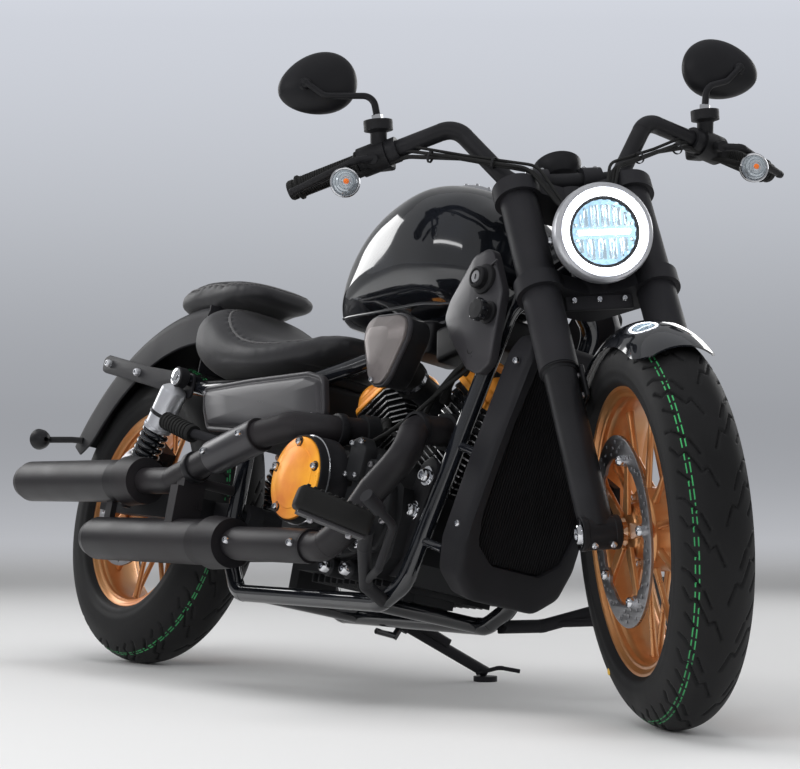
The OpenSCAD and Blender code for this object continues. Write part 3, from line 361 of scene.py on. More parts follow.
def oval(x, half_w, low, high, power, n):
    """Ring of a superellipse across the machine, its first point on the left."""
    ring = []
    for k in range(n):
        c, s = math.cos(2 * math.pi * k / n), math.sin(2 * math.pi * k / n)
        ring.append(Vector((x, half_w * math.copysign(abs(c) ** (2 / power), c),
                            (low + high) / 2 + (high - low) / 2 * math.copysign(abs(s) ** (2 / power), s))))
    return ring


def skin(rings, ends=True):
    n = len(rings[0])
    faces = []
    for i in range(len(rings) - 1):
        for k in range(n):
            j = (k + 1) % n
            faces.append((i * n + k, i * n + j, (i + 1) * n + j, (i + 1) * n + k))
    if ends:
        faces.append(tuple(reversed(range(n))))
        faces.append(tuple(range((len(rings) - 1) * n, len(rings) * n)))
    return [v for ring in rings for v in ring], faces


def smooth_rows(rows, steps):
    """Rows of numbers made denser along a smooth curve through them."""
    t = np.array([r[0] for r in rows], float)
    data = np.array(rows, float)
    s = np.linspace(0, len(rows) - 1, steps)
    out = []
    for v in s:
        i = min(int(v), len(rows) - 2)
        f = v - i
        p = [data[max(0, min(len(rows) - 1, i + k))] for k in (-1, 0, 1, 2)]
        out.append(0.5 * (2 * p[1] + (p[2] - p[0]) * f + (2 * p[0] - 5 * p[1] + 4 * p[2] - p[3]) * f**2
                          + (3 * p[1] - p[0] - 3 * p[2] + p[3]) * f**3))
    return [list(map(float, r)) for r in out]


# Finishes

def detail_group():
    """Shared shader group: cloudy roughness and a fine bump in object space."""
    group = bpy.data.node_groups.new("surface_detail", "ShaderNodeTree")
    face = group.interface
    for label, kind in (("Scale", "NodeSocketFloat"), ("Low", "NodeSocketFloat"),
                        ("High", "NodeSocketFloat"), ("Depth", "NodeSocketFloat")):
        face.new_socket(name=label, in_out="INPUT", socket_type=kind)
    for label, kind in (("Roughness", "NodeSocketFloat"), ("Normal", "NodeSocketVector"), ("Cloud", "NodeSocketFloat")):
        face.new_socket(name=label, in_out="OUTPUT", socket_type=kind)
    n, link = group.nodes, group.links.new
    inp, out, coord = n.new("NodeGroupInput"), n.new("NodeGroupOutput"), n.new("ShaderNodeTexCoord")
    cloud, fine = n.new("ShaderNodeTexNoise"), n.new("ShaderNodeTexNoise")
    cloud.inputs["Scale"].default_value = 9.0
    cloud.inputs["Detail"].default_value = 6.0
    fine.inputs["Detail"].default_value = 3.0
    spread, bump = n.new("ShaderNodeMapRange"), n.new("ShaderNodeBump")
    bump.inputs["Strength"].default_value = 1.0
    link(coord.outputs["Object"], cloud.inputs["Vector"])
    link(coord.outputs["Object"], fine.inputs["Vector"])
    link(inp.outputs["Scale"], fine.inputs["Scale"])
    link(cloud.outputs["Fac"], spread.inputs["Value"])
    spread.inputs["From Min"].default_value = 0.3
    spread.inputs["From Max"].default_value = 0.7
    link(inp.outputs["Low"], spread.inputs["To Min"])
    link(inp.outputs["High"], spread.inputs["To Max"])
    link(fine.outputs["Fac"], bump.inputs["Height"])
    link(inp.outputs["Depth"], bump.inputs["Distance"])
    link(spread.outputs["Result"], out.inputs["Roughness"])
    link(bump.outputs["Normal"], out.inputs["Normal"])
    link(cloud.outputs["Fac"], out.inputs["Cloud"])
    return group


DETAIL = detail_group()


def finish(name, slot, colour, rough, metal=0.0, scale=600.0, depth=0.00002, tint=None, **sockets):
    """Finish with cloudy roughness from rough[0] to rough[1], a fine bump and a second tint."""
    mat = bpy.data.materials.new(name)
    mat.use_nodes = True
    n, link = mat.node_tree.nodes, mat.node_tree.links.new
    bsdf = n["Principled BSDF"]
    node = n.new("ShaderNodeGroup")
    node.node_tree = DETAIL
    for label, value in (("Scale", scale), ("Low", rough[0]), ("High", rough[1]), ("Depth", depth)):
        node.inputs[label].default_value = value
    mix = n.new("ShaderNodeMix")
    mix.data_type = "RGBA"
    ramp = n.new("ShaderNodeMapRange")
    ramp.inputs["From Min"].default_value = 0.42
    ramp.inputs["From Max"].default_value = 0.66
    link(node.outputs["Cloud"], ramp.inputs["Value"])
    link(ramp.outputs["Result"], mix.inputs["Factor"])
    mix.inputs["A"].default_value = (*colour, 1.0)
    mix.inputs["B"].default_value = (*(tint or [c * 0.8 for c in colour]), 1.0)
    link(mix.outputs["Result"], bsdf.inputs["Base Color"])
    link(node.outputs["Roughness"], bsdf.inputs["Roughness"])
    link(node.outputs["Normal"], bsdf.inputs["Normal"])
    bsdf.inputs["Metallic"].default_value = metal
    for label, value in sockets.items():
        bsdf.inputs[label.replace("_", " ")].default_value = value
    return mat, slot


def add_cells(mat, scale, depth, stretch=(1.0, 1.0, 1.0), feature="F1", noise=0.0):
    """Lays a cell pattern, such as leather grain or a brushed grain, over a finish's bump."""
    n, link = mat.node_tree.nodes, mat.node_tree.links.new
    bsdf = n["Principled BSDF"]
    coord, place = n.new("ShaderNodeTexCoord"), n.new("ShaderNodeMapping")
    place.inputs["Scale"].default_value = stretch
    link(coord.outputs["Object"], place.inputs["Vector"])
    if noise:
        cells = n.new("ShaderNodeTexNoise")
        cells.inputs["Detail"].default_value = noise
        height = cells.outputs["Fac"]
    else:
        cells = n.new("ShaderNodeTexVoronoi")
        cells.feature = feature
        height = cells.outputs["Distance"]
    cells.inputs["Scale"].default_value = scale
    link(place.outputs["Vector"], cells.inputs["Vector"])
    bump = n.new("ShaderNodeBump")
    bump.inputs["Distance"].default_value = depth
    bump.inputs["Strength"].default_value = 1.0
    link(height, bump.inputs["Height"])
    link(bsdf.inputs["Normal"].links[0].from_socket, bump.inputs["Normal"])
    link(bump.outputs["Normal"], bsdf.inputs["Normal"])


def glow(name, slot, colour, strength):
    mat, slot = finish(name, slot, colour, (0.2, 0.3))
    bsdf = mat.node_tree.nodes["Principled BSDF"]
    bsdf.inputs["Emission Color"].default_value = (*colour, 1.0)
    bsdf.inputs["Emission Strength"].default_value = strength
    return mat, slot


GLOSS = finish("gloss_black_paint", "gloss_black", (0.0070, 0.0077, 0.0098), (0.06, 0.12), 0.0, 900, 0.000004,
               (0.0098, 0.0112, 0.0154), Coat_Weight=1.0, Coat_Roughness=0.03)
SATIN = finish("satin_black_paint", "satin_black", (0.0106, 0.0106, 0.0120), (0.34, 0.44), 0.0, 1400, 0.00002,
               (0.0144, 0.0144, 0.0163),
    Specular_IOR_Level=0.2)
MATT = finish("matt_black_paint", "satin_black", (0.0130, 0.0130, 0.0150), (0.46, 0.58), 0.0, 1500, 0.00003,
              (0.0170, 0.0165, 0.0190),
    Specular_IOR_Level=0.2)
HEATPROOF = finish("heatproof_black", "exhaust_black", (0.0134, 0.0126, 0.0143), (0.38, 0.50), 0.1, 1800, 0.00003,
                   (0.0189, 0.0168, 0.0185), Specular_IOR_Level=0.3)
CASE = finish("engine_black", "engine_black", (0.0135, 0.0140, 0.0153), (0.36, 0.52), 0.15, 1200, 0.00004,
              (0.0203, 0.0207, 0.0225),
    Specular_IOR_Level=0.2)
FIN_EDGE = finish("machined_fins", "silver", (0.62, 0.62, 0.62), (0.18, 0.32), 1.0, 900, 0.00001,
                  (0.45, 0.45, 0.46))
GREY = finish("dark_grey_paint", "dark_grey", (0.0300, 0.0290, 0.0330), (0.30, 0.40), 0.3, 1500, 0.00001,
              (0.0370, 0.0350, 0.0390), Coat_Weight=0.25, Coat_Roughness=0.3)
TITAN = finish("titanium_grey_paint", "titanium_grey", (0.27, 0.245, 0.24), (0.32, 0.42), 0.7, 1600, 0.00001,
               (0.16, 0.14, 0.14))
COPPER = finish("copper_paint", "copper", (0.62, 0.30, 0.12), (0.26, 0.36), 0.75, 1300, 0.00001,
                (0.62, 0.22, 0.06), Coat_Weight=0.4, Coat_Roughness=0.15)
GOLD = finish("gold_copper_paint", "gold", (0.66, 0.31, 0.12), (0.20, 0.30), 0.9, 1300, 0.00001,
              (0.52, 0.22, 0.08), Coat_Weight=0.5, Coat_Roughness=0.1)
ORANGE = finish("anodised_orange", "orange", (0.98, 0.42, 0.035), (0.26, 0.36), 0.3, 900, 0.00001,
                (0.74, 0.22, 0.03))
STEEL = finish("ground_steel", "steel", (0.42, 0.42, 0.44), (0.26, 0.40), 1.0, 700, 0.00002, (0.34, 0.33, 0.34))
add_cells(STEEL[0], 220.0, 0.00002, (1.0, 1.0, 12.0), noise=4.0)
CHROME = finish("bright_metal", "silver", (0.78, 0.79, 0.82), (0.07, 0.16), 1.0, 500, 0.00001, (0.66, 0.67, 0.70))
SILVER = finish("silver_paint", "silver", (0.66, 0.67, 0.70), (0.28, 0.36), 0.75, 1500, 0.00001, (0.56, 0.57, 0.61))
PLASTIC = finish("black_plastic", "black_plastic", (0.0110, 0.0110, 0.0121), (0.42, 0.55), 0.0, 2200, 0.00005,
                 (0.0149, 0.0149, 0.0165),
    Specular_IOR_Level=0.2)
RUBBER = finish("black_rubber", "rubber", (0.0099, 0.0099, 0.0099), (0.55, 0.72), 0.0, 1600, 0.00006, (0.0143, 0.0143, 0.0143),
    Specular_IOR_Level=0.2)
TYRE = finish("tyre_rubber", "tyre", (0.0080, 0.0080, 0.0084), (0.48, 0.66), 0.0, 1100, 0.00012, (0.0120, 0.0120, 0.0128),
    Specular_IOR_Level=0.2)
add_cells(TYRE[0], 60.0, 0.0002, noise=6.0)
LINE = finish("tyre_line", "tyre", (0.03, 0.30, 0.09), (0.55, 0.7), 0.0, 500, 0.0001, (0.015, 0.14, 0.05))
LEATHER = finish("seat_leather", "leather", (0.0120, 0.0120, 0.0138), (0.42, 0.54), 0.0, 500, 0.00005,
                 (0.0180, 0.0175, 0.0200), Sheen_Weight=0.08, Sheen_Roughness=0.5)
add_cells(LEATHER[0], 520.0, 0.00022)
LEATHER_FINE = finish("seat_leather_inset", "leather", (0.0288, 0.0274, 0.0288), (0.50, 0.62), 0.0, 400, 0.00005,
                      (0.0374, 0.0353, 0.0374), Sheen_Weight=0.3, Sheen_Roughness=0.5)
add_cells(LEATHER_FINE[0], 260.0, 0.00035)
THREAD = finish("seam_thread", "leather", (0.10, 0.10, 0.105), (0.6, 0.75), 0.0, 3000, 0.0001)
CLEAR = finish("clear_lens", "clear_lens", (0.96, 0.98, 1.0), (0.01, 0.03), 0.0, 200, 0.000001, (0.92, 0.96, 1.0),
               Transmission_Weight=1.0, IOR=1.45)
# Reflector finish with a faint pale blue emission of its own: painted glow of lamp light reflected in the reflector,
# light bar and flutes
PAINTED_GLOW_FACETS = finish("lamp_reflector", "silver", (0.80, 0.88, 0.95), (0.10, 0.22), 1.0, 90, 0.0004, (0.55, 0.66, 0.74),
                Emission_Color=(0.62, 0.82, 0.95, 1.0), Emission_Strength=0.32)
add_cells(PAINTED_GLOW_FACETS[0], 90.0, 0.0012, (1.0, 1.0, 0.35))
HALO = glow("lamp_halo", "clear_lens", (0.93, 0.95, 1.0), 7.0)
AMBER = finish("amber_reflector", "indicator", (0.90, 0.22, 0.01), (0.12, 0.22), 0.0, 300, 0.0001, (0.7, 0.13, 0.01),
               Coat_Weight=1.0, Coat_Roughness=0.05)
add_cells(AMBER[0], 500.0, 0.0003)
LAMP_GLASS = finish("indicator_lens", "indicator", (0.60, 0.66, 0.70), (0.06, 0.14), 0.6, 400, 0.0001,
                    (0.42, 0.46, 0.50), Coat_Weight=1.0, Coat_Roughness=0.03)
RED = finish("tail_lens", "red_lens", (0.45, 0.012, 0.010), (0.10, 0.18), 0.0, 300, 0.0001, (0.30, 0.008, 0.008),
             Coat_Weight=1.0, Coat_Roughness=0.04)
add_cells(RED[0], 300.0, 0.0003)
MIRROR = finish("mirror_glass", "silver", (0.85, 0.87, 0.88), (0.01, 0.03), 1.0, 100, 0.000001, (0.8, 0.82, 0.84))
DIAL = finish("dial_glass", "black_plastic", (0.01, 0.011, 0.013), (0.03, 0.07), 0.0, 300, 0.000002, (0.012, 0.013, 0.016),
              Coat_Weight=1.0, Coat_Roughness=0.02)


def dress(node, mat):
    ob = NODES[node]
    if not ob.material_slots:
        ob.data.materials.append(mat[0])
    for s in ob.material_slots:
        s.material = mat[0]


# Bolts: domed socket heads copied onto points by Geometry Nodes

def bolt_head():
    profile = [(0.0, 0.30), (0.22, 0.30), (0.25, 0.62), (0.33, 0.62), (0.44, 0.52), (0.5, 0.34), (0.5, 0.0)]
    n = 16
    verts = [(r * math.cos(2 * math.pi * k / n), r * math.sin(2 * math.pi * k / n), z)
             for r, z in profile for k in range(n)]
    faces = [(i * n + k, (i + 1) * n + k, (i + 1) * n + (k + 1) % n, i * n + (k + 1) % n)
             for i in range(len(profile) - 1) for k in range(n)]
    me = bpy.data.meshes.new("bolt_head")
    me.from_pydata(verts, [], faces)
    me.shade_smooth()
    me.set_sharp_from_angle(angle=math.radians(40))
    return bpy.data.objects.new("bolt_head", me)


HEAD = bolt_head()


def bolt_group():
    group = bpy.data.node_groups.new("bolt_copies", "GeometryNodeTree")
    for label, way, kind in (("Points", "INPUT", "NodeSocketGeometry"), ("Size", "INPUT", "NodeSocketFloat"),
                             ("Finish", "INPUT", "NodeSocketMaterial"), ("Bolts", "OUTPUT", "NodeSocketGeometry")):
        group.interface.new_socket(name=label, in_out=way, socket_type=kind)
    n, link = group.nodes, group.links.new
    inp, out = n.new("NodeGroupInput"), n.new("NodeGroupOutput")
    info, copy = n.new("GeometryNodeObjectInfo"), n.new("GeometryNodeInstanceOnPoints")
    info.inputs["Object"].default_value = HEAD
    way, align = n.new("GeometryNodeInputNamedAttribute"), n.new("FunctionNodeAlignRotationToVector")
    way.data_type = "FLOAT_VECTOR"
    way.inputs["Name"].default_value = "way"
    align.axis = "Z"
    real, paint = n.new("GeometryNodeRealizeInstances"), n.new("GeometryNodeSetMaterial")
    link(inp.outputs["Points"], copy.inputs["Points"])
    link(info.outputs["Geometry"], copy.inputs["Instance"])
    link(way.outputs["Attribute"], align.inputs["Vector"])
    link(align.outputs["Rotation"], copy.inputs["Rotation"])
    link(inp.outputs["Size"], copy.inputs["Scale"])
    link(copy.outputs["Instances"], real.inputs["Geometry"])
    link(real.outputs["Geometry"], paint.inputs["Geometry"])
    link(inp.outputs["Finish"], paint.inputs["Material"])
    link(paint.outputs["Geometry"], out.inputs["Bolts"])
    return group


BOLTS = bolt_group()


def bolts(name, spots, size, body, mat=CHROME, both=False):
    """Bolt heads of one size at (point, outward direction) spots of the upright machine."""
    spots = [(Vector(p), Vector(d).normalized()) for p, d in spots]
    if both:
        spots += [(Vector((p.x, -p.y, p.z)), Vector((d.x, -d.y, d.z))) for p, d in spots]
    me = bpy.data.meshes.new(name)
    me.from_pydata([tuple(p) for p, _ in spots], [], [])
    way = me.attributes.new("way", "FLOAT_VECTOR", "POINT")
    way.data.foreach_set("vector", [c for _, d in spots for c in d])
    ob = bpy.data.objects.new(name, me)
    bpy.context.scene.collection.objects.link(ob)
    mod = ob.modifiers.new("copies", "NODES")
    mod.node_group = BOLTS
    for item in BOLTS.interface.items_tree:
        if item.in_out == "INPUT" and item.name == "Size":
            mod[item.identifier] = float(size)
        if item.in_out == "INPUT" and item.name == "Finish":
            mod[item.identifier] = mat[0]
    bake(ob)
    return finish_piece(ob, mat, body, smooth=40.0)


# Wheels

def seg_distance(pu, pv, a, b):
    au, av, bu, bv = *a, *b
    du, dv = bu - au, bv - av
    t = np.clip(((pu - au) * du + (pv - av) * dv) / (du * du + dv * dv), 0, 1)
    return np.hypot(pu - au - t * du, pv - av - t * dv)


# Grooves of one pitch: (along, across) points in millimetres, from the crown to the shoulder
GROOVES = [[(0, 3), (30, 15), (24, 24), (62, 44), (58, 56), (76, 68)],
           [(52, 22), (78, 34)], [(84, 40), (104, 58), (108, 70)], [(14, 44), (34, 62)]]
PITCH_MM = 118.0


def groove_depth(u, v, pitch):
    """Depth of the tread at a place: grooves repeat along u and alternate from side to side."""
    depth = np.zeros_like(u)
    for side, shift in ((1, 0.0), (-1, pitch / 2)):
        for k in (-1, 0, 1):
            uu = np.mod(u + shift, pitch) + k * pitch
            for line in GROOVES:
                for a, b in zip(line, line[1:]):
                    d = seg_distance(uu, side * v, a, b)
                    depth = np.maximum(depth, np.clip(1.5 - d / 1.9, 0, 1))
    return 3.4 * depth


def tyre(name, d, w, rim_d, centre, body, nu, nv, stripes, node):
    r, big = w / 2, (d - w) / 2
    edge = math.radians(180) - math.asin((rim_d / 2 + 1 - big) / r) if rim_d / 2 + 1 > big else math.pi / 2 \
        + math.asin((big - rim_d / 2 - 1) / r)
    edge = math.acos((rim_d / 2 + 1.0 - big) / r)
    tread = math.radians(80)
    theta = np.concatenate([np.linspace(-edge, -tread, 9)[:-1], np.linspace(-tread, tread, nv),
                            np.linspace(tread, edge, 9)[1:]])
    turns = round(2 * math.pi * d / 2 / PITCH_MM)
    pitch = math.pi * d / turns
    ang = np.linspace(0, 2 * math.pi, nu, endpoint=False)
    A, T = np.meshgrid(ang, theta, indexing="ij")
    U, V = A * d / 2, T * r
    deep = groove_depth(U, V, pitch) * (np.abs(T) <= tread)
    side = np.abs(np.degrees(T))
    deep = deep - 0.9 * np.exp(-((side - 92) / 1.6) ** 2) - 0.7 * np.exp(-((side - 97) / 1.2) ** 2) \
        - 1.4 * np.exp(-((side - math.degrees(edge) + 4) / 2.2) ** 2)
    deep = deep * (side < math.degrees(edge) - 0.5) + 0.25
    R = big + (r - deep) * np.cos(T)
    Y = (r - deep) * np.sin(T)
    co = np.stack([centre.x + R * np.cos(A), Y, centre.z + R * np.sin(A)], axis=-1).reshape(-1, 3)
    m = len(theta)
    i, j = np.meshgrid(np.arange(nu), np.arange(m - 1), indexing="ij")
    a, b = i * m + j, ((i + 1) % nu) * m + j
    faces = np.stack([a, a + 1, b + 1, b], axis=-1).reshape(-1, 4)
    inner_low, inner_high = len(co), len(co) + nu
    bead = rim_d / 2 - 10.2
    ring = [np.stack([centre.x + bead * np.cos(ang), np.full(nu, s * 0.33 * w), centre.z + bead * np.sin(ang)], axis=-1)
            for s in (-1, 1)]
    co = np.concatenate([co] + ring)
    k = np.arange(nu)
    k2 = (k + 1) % nu
    close = np.concatenate([np.stack([inner_low + k, k * m, k2 * m, inner_low + k2], axis=-1),
                            np.stack([k * m + m - 1, inner_high + k, inner_high + k2, k2 * m + m - 1], axis=-1)])
    faces = np.concatenate([faces, close])
    me = bpy.data.meshes.new(name)
    me.from_pydata(co.tolist(), [], faces.tolist())
    ob = bpy.data.objects.new(name, me)
    bpy.context.scene.collection.objects.link(ob)
    finish_piece(ob, TYRE, body, node=node, smooth=0)
    me.materials.append(LINE[0])
    mid_u = (U + np.roll(U, -1, axis=0))[:, :-1].reshape(-1) / 2
    mid_v = (V[:, :-1] + V[:, 1:]).reshape(-1) / 2
    flat = (deep[:, :-1] + deep[:, 1:]).reshape(-1) < 1.6
    lit = np.zeros(len(faces), int)
    for v0 in stripes:
        dash = np.mod(mid_u, 21.0) < 15.5
        lit[:len(mid_u)] |= ((np.abs(mid_v - v0) < 1.15) & dash & flat).astype(int)
    me.polygons.foreach_set("material_index", lit)
    me.shade_smooth()
    me.set_sharp_from_angle(angle=math.radians(48))
    return ob


tyre("front_tyre_tread", FRONT_D, FRONT_W, FRONT_RIM, FRONT_AXLE, "front_wheel", 840, 80, (-40.5, -46.0), "front_tyre")
tyre("rear_tyre_tread", REAR_D, REAR_W, REAR_RIM, REAR_AXLE, "rear_wheel", 640, 84, (-40.0, -46.5), "rear_tyre")


def wheel(tag, axle, body, tyre_w, rim_d, hub_left, hub_right, carrier_r):
    """Cast rim with paired spokes, drum hub with dome nuts, and five disc arms on the right."""
    at = Matrix.Translation(axle) @ rot(90, "X")
    half, R = 0.34 * tyre_w, rim_d / 2
    bead = R - 10.3
    side = [(bead, half - 4), (R - 3, half + 0.4), (R - 1.2, half + 1.6), (R + 0.6, half + 4.5), (R - 0.6, half + 7.2),
            (R - 4.5, half + 7.6), (R - 9, half + 6.2), (R - 12.5, half + 3.0), (R - 15, half + 1.2),
            (R - 19, half + 0.6), (R - 21, half - 1.4), (R - 22, half - 8), (R - 25, half - 12), (R - 27, half - 18)]
    ring = side + [(r, -z) for r, z in reversed(side)]
    lathe(tag + "_rim_ring", ring + [ring[0]], COPPER, body, at, n=180, smooth=24)
    hub = [(10.5, -hub_left), (30, -hub_left), (32, -hub_left + 2), (32, -hub_left + 12), (40, -hub_left + 16),
           (44, -31), (62, -30), (67, -26), (68, -20), (66.5, -6), (66.5, 6), (68, 20), (67, 26), (62, 30), (45, 31.5),
           (43, hub_right - 12), (36, hub_right - 10), (34, hub_right - 7.5), (12, hub_right - 7.2), (10.5, hub_right)]
    lathe(tag + "_hub", hub, COPPER, body, at, n=96, smooth=28)
    verts, faces = [], []
    inner = R - 26
    for k in range(10):
        for s in (-1, 1):
            a = 2 * math.pi * k / 10 + s * math.radians(5)
            way = Vector((math.cos(a), math.sin(a), 0))
            across = Vector((-math.sin(a), math.cos(a), 0))
            rows = [(60, 19, 8.0, 7.0), (72, 18, 6.2, 5.6), (90, 17, 5.2, 5.2), (inner - 34, 12, 5.2, 5.0),
                    (inner - 12, 10.5, 6.6, 5.6), (inner + 3, 10, 9.0, 7.0)]
            first = len(verts)
            for r, z, half_w, half_t in rows:
                for q in range(12):
                    c, t = math.cos(2 * math.pi * q / 12), math.sin(2 * math.pi * q / 12)
                    p = way * r + across * (half_w * math.copysign(abs(c) ** 0.75, c)) \
                        + Vector((0, 0, s * z + half_t * math.copysign(abs(t) ** 0.75, t)))
                    verts.append(at @ p)
            for i in range(len(rows) - 1):
                for q in range(12):
                    j = (q + 1) % 12
                    faces.append((first + i * 12 + q, first + i * 12 + j, first + (i + 1) * 12 + j, first + (i + 1) * 12 + q))
    mesh_piece(tag + "_spokes", verts, faces, COPPER, body, node=tag + "_rim", subdiv=1)
    for k in range(5):
        a = 72 * k
        arm = rounded([(28, -13), (carrier_r - 16, -8), (carrier_r + 1, -13), (carrier_r + 9, -6), (carrier_r + 9, 6),
                       (carrier_r + 1, 13), (carrier_r - 16, 8), (28, 13)], 6)
        plate(f"{tag}_disc_arm_{k}", [arm], 6.6, COPPER, body, at @ rot(a, "Z") @ Matrix.Translation((0, 0, hub_right - 3.5)),
              bevel=1.2)
    ring_spots = [(at @ Vector((52 * math.cos(math.radians(36 + 72 * k)), 52 * math.sin(math.radians(36 + 72 * k)),
                                31.5)), Vector((0, -1, 0))) for k in range(5)]
    bolts(tag + "_hub_nuts", ring_spots, 15, body)
    return at


def disc(tag, at, body, d, z, band=34.0):
    """Drilled braking band with inward hooks and its floating buttons."""
    R = d / 2
    n, inner = 240, []
    for k in range(n):
        a = 2 * math.pi * k / n
        near = abs(((math.degrees(a) + 36) % 72) - 36)
        small = abs(((math.degrees(a)) % 36) - 18)
        r = R - band - 9 * max(0.0, 1 - max(0.0, near - 4.5) / 2.0) - 3.5 * max(0.0, 1 - small / 7)
        inner.append((r * math.cos(a), r * math.sin(a)))
    holes = []
    for k in range(60):
        r = R - (8.5, 17.0, 25.5)[k % 3] + (0.0 if k % 6 < 3 else -1.5)
        a = 2 * math.pi * k / 60 + (0.02 if k % 6 < 3 else -0.02)
        holes.append(circle(2.9, 10, (r * math.cos(a), r * math.sin(a))))
    plate(tag + "_brake_disc", [circle(R, 144), inner] + holes, 5.0, STEEL, body, at @ Matrix.Translation((0, 0, z + 2.5)),
          bevel=0.4, node=tag + "_disc")
    spots = [(at @ Vector(((R - band - 1.5) * math.cos(a), (R - band - 1.5) * math.sin(a), z + 4.5)), Vector((0, -1, 0)))
             for a in [2 * math.pi * k / 5 for k in range(5)]]
    bolts(tag + "_disc_buttons", spots, 17, body)


FRONT_AT = wheel("front", FRONT_AXLE, "front_wheel", FRONT_W, FRONT_RIM, 62.5, 57.2, 130)
disc("front", FRONT_AT, "front_wheel", 300.0, 57.5)
REAR_AT = wheel("rear", REAR_AXLE, "rear_wheel", REAR_W, REAR_RIM, 77.7, 83.7, 110)
disc("rear", REAR_AT, "rear_wheel", 260.0, 84.0)
lathe("sidewall_dot", [(0.0, 0.5), (5.2, 0.4), (6.0, -1.0)],
      finish("dot_paint", "tyre", (0.75, 0.45, 0.05), (0.4, 0.5)), "front_wheel",
      Matrix.Translation(FRONT_AXLE + Vector((264 * math.cos(math.radians(238)), -59.6, 264 * math.sin(math.radians(238)))))
      @ rot(90, "X"), n=20)

# Rear pulley rim
lathe("pulley_rim", [(60, 0), (86, 0), (87.5, 0.6), (87.5, 2.0), (84.5, 2.4), (84.5, 3)], SATIN, "rear_wheel",
      Matrix.Translation((0, 97.2, REAR_AXLE.z)) @ rot(-90, "X"), n=96)


# Fork, lamp and bars

LEG_Y, LAMP_BACK, LAMP_D, LAMP_DEPTH = 100.0, Vector((1326, 0, 806)), 168.0, 100.0


def leg_frame(z, s):
    return towards(on_leg(z, s * LEG_Y), STEER_DIR)


for s, tag in ((1, "left"), (-1, "right")):
    lathe(f"fork_seal_{tag}", [(27.4, -5), (28.4, -4), (29.4, 0), (33.0, 1.6), (33.2, 3)], SATIN, "fork",
          leg_frame(574, s), n=64)
    lathe(f"fork_cap_{tag}", [(33.1, -6), (33.6, -5), (33.6, -1.5), (31.5, 1), (21, 1.4), (20.4, 3.6), (15, 4.2),
                              (14.4, 1.8), (0, 1.6)], SATIN, "fork", leg_frame(915.6, s), n=64)
    lathe(f"axle_clamp_{tag}", [(26.4, -31), (27.4, -30), (27.4, -22), (26.3, -21), (26.3, 21), (27.4, 22),
                                (27.4, 30), (26.4, 31)], SATIN, "fork",
          Matrix.Translation(FRONT_AXLE + Vector((0, s * (LEG_Y - 2), 0))) @ rot(90, "X"), n=64)
    lathe(f"axle_end_{tag}", [(22, 0), (22, 1.5), (20, 2), (15.5, 2), (15, 5.5), (13, 7), (9, 7), (8.4, 3), (0, 3)],
          CHROME, "fork", Matrix.Translation(FRONT_AXLE + Vector((0, s * (LEG_Y + 28.4), 0))) @ rot(-90 * s, "X"), n=48)
    pinch = [(FRONT_AXLE + Vector((20, s * (LEG_Y + y), -17)), Vector((0.75, 0, -0.65))) for y in (-18, 12)]
    bolts(f"axle_pinch_bolts_{tag}", pinch, 11, "fork")
lathe("wheel_spacer", [(14, 0), (23, 0), (24, 1), (24, 8), (22, 9), (14, 9)], CHROME, "front_wheel",
      FRONT_AT @ Matrix.Translation((0, 0, 57.4)), n=48)

LAMP_AT = Matrix.Translation(LAMP_BACK) @ rot(90, "Y")
R = LAMP_D / 2
lathe("headlamp_bowl", [(0, 0), (34, 0.5), (52, 6), (66, 17), (74, 32), (78, 48), (80, 62), (81, 70)], SATIN, "fork",
      LAMP_AT, n=120, node="headlamp_shell")
lathe("headlamp_bezel", [(81, 66), (R - 0.6, 68), (R, 72), (R, 90), (R - 1.0, 95), (R - 3.5, 98.6), (R - 7, 100),
                         (R - 9.5, 99.4), (R - 11, 97), (R - 11, 84)], SILVER, "fork", LAMP_AT, n=160)
lathe("headlamp_halo", [(R - 11.2, 90), (R - 12.5, 95.4), (R - 17, 97), (R - 22, 96), (R - 24, 92)], HALO, "fork",
      LAMP_AT, n=160)
lathe("headlamp_inner_ring", [(R - 24, 94), (R - 26.5, 95), (R - 29, 93), (R - 30, 84)], PLASTIC, "fork", LAMP_AT, n=120)
flute = []
for i, (r, z) in enumerate([(R - 28, 90), (R - 34, 78), (44, 62), (34, 52), (22, 45), (8, 42), (0.1, 42)]):
    flute.append([LAMP_AT @ Vector(((r + (1.6 if (k // 3) % 2 else -1.6) * min(1, r / 40)) * math.cos(2 * math.pi * k / 144),
                                    (r + (1.6 if (k // 3) % 2 else -1.6) * min(1, r / 40)) * math.sin(2 * math.pi * k / 144), z))
                  for k in range(144)])
verts, faces = skin(flute, ends=False)
# The reflector, light bar and flutes carry the painted glow of the reflector finish
mesh_piece("headlamp_reflector", verts, faces, PAINTED_GLOW_FACETS, "fork", smooth=12)


BEAM = glow("lamp_beam", "clear_lens", (0.90, 0.95, 1.0), 4.0)
box_piece("lamp_light_bar", LAMP_AT @ Matrix.Translation((0, 0, 80)), (12, 96, 14), PAINTED_GLOW_FACETS, "fork", 3)
box_piece("lamp_light_strip", LAMP_AT @ Matrix.Translation((0, 0, 88)), (9, 88, 3), BEAM, "fork", 1.4)
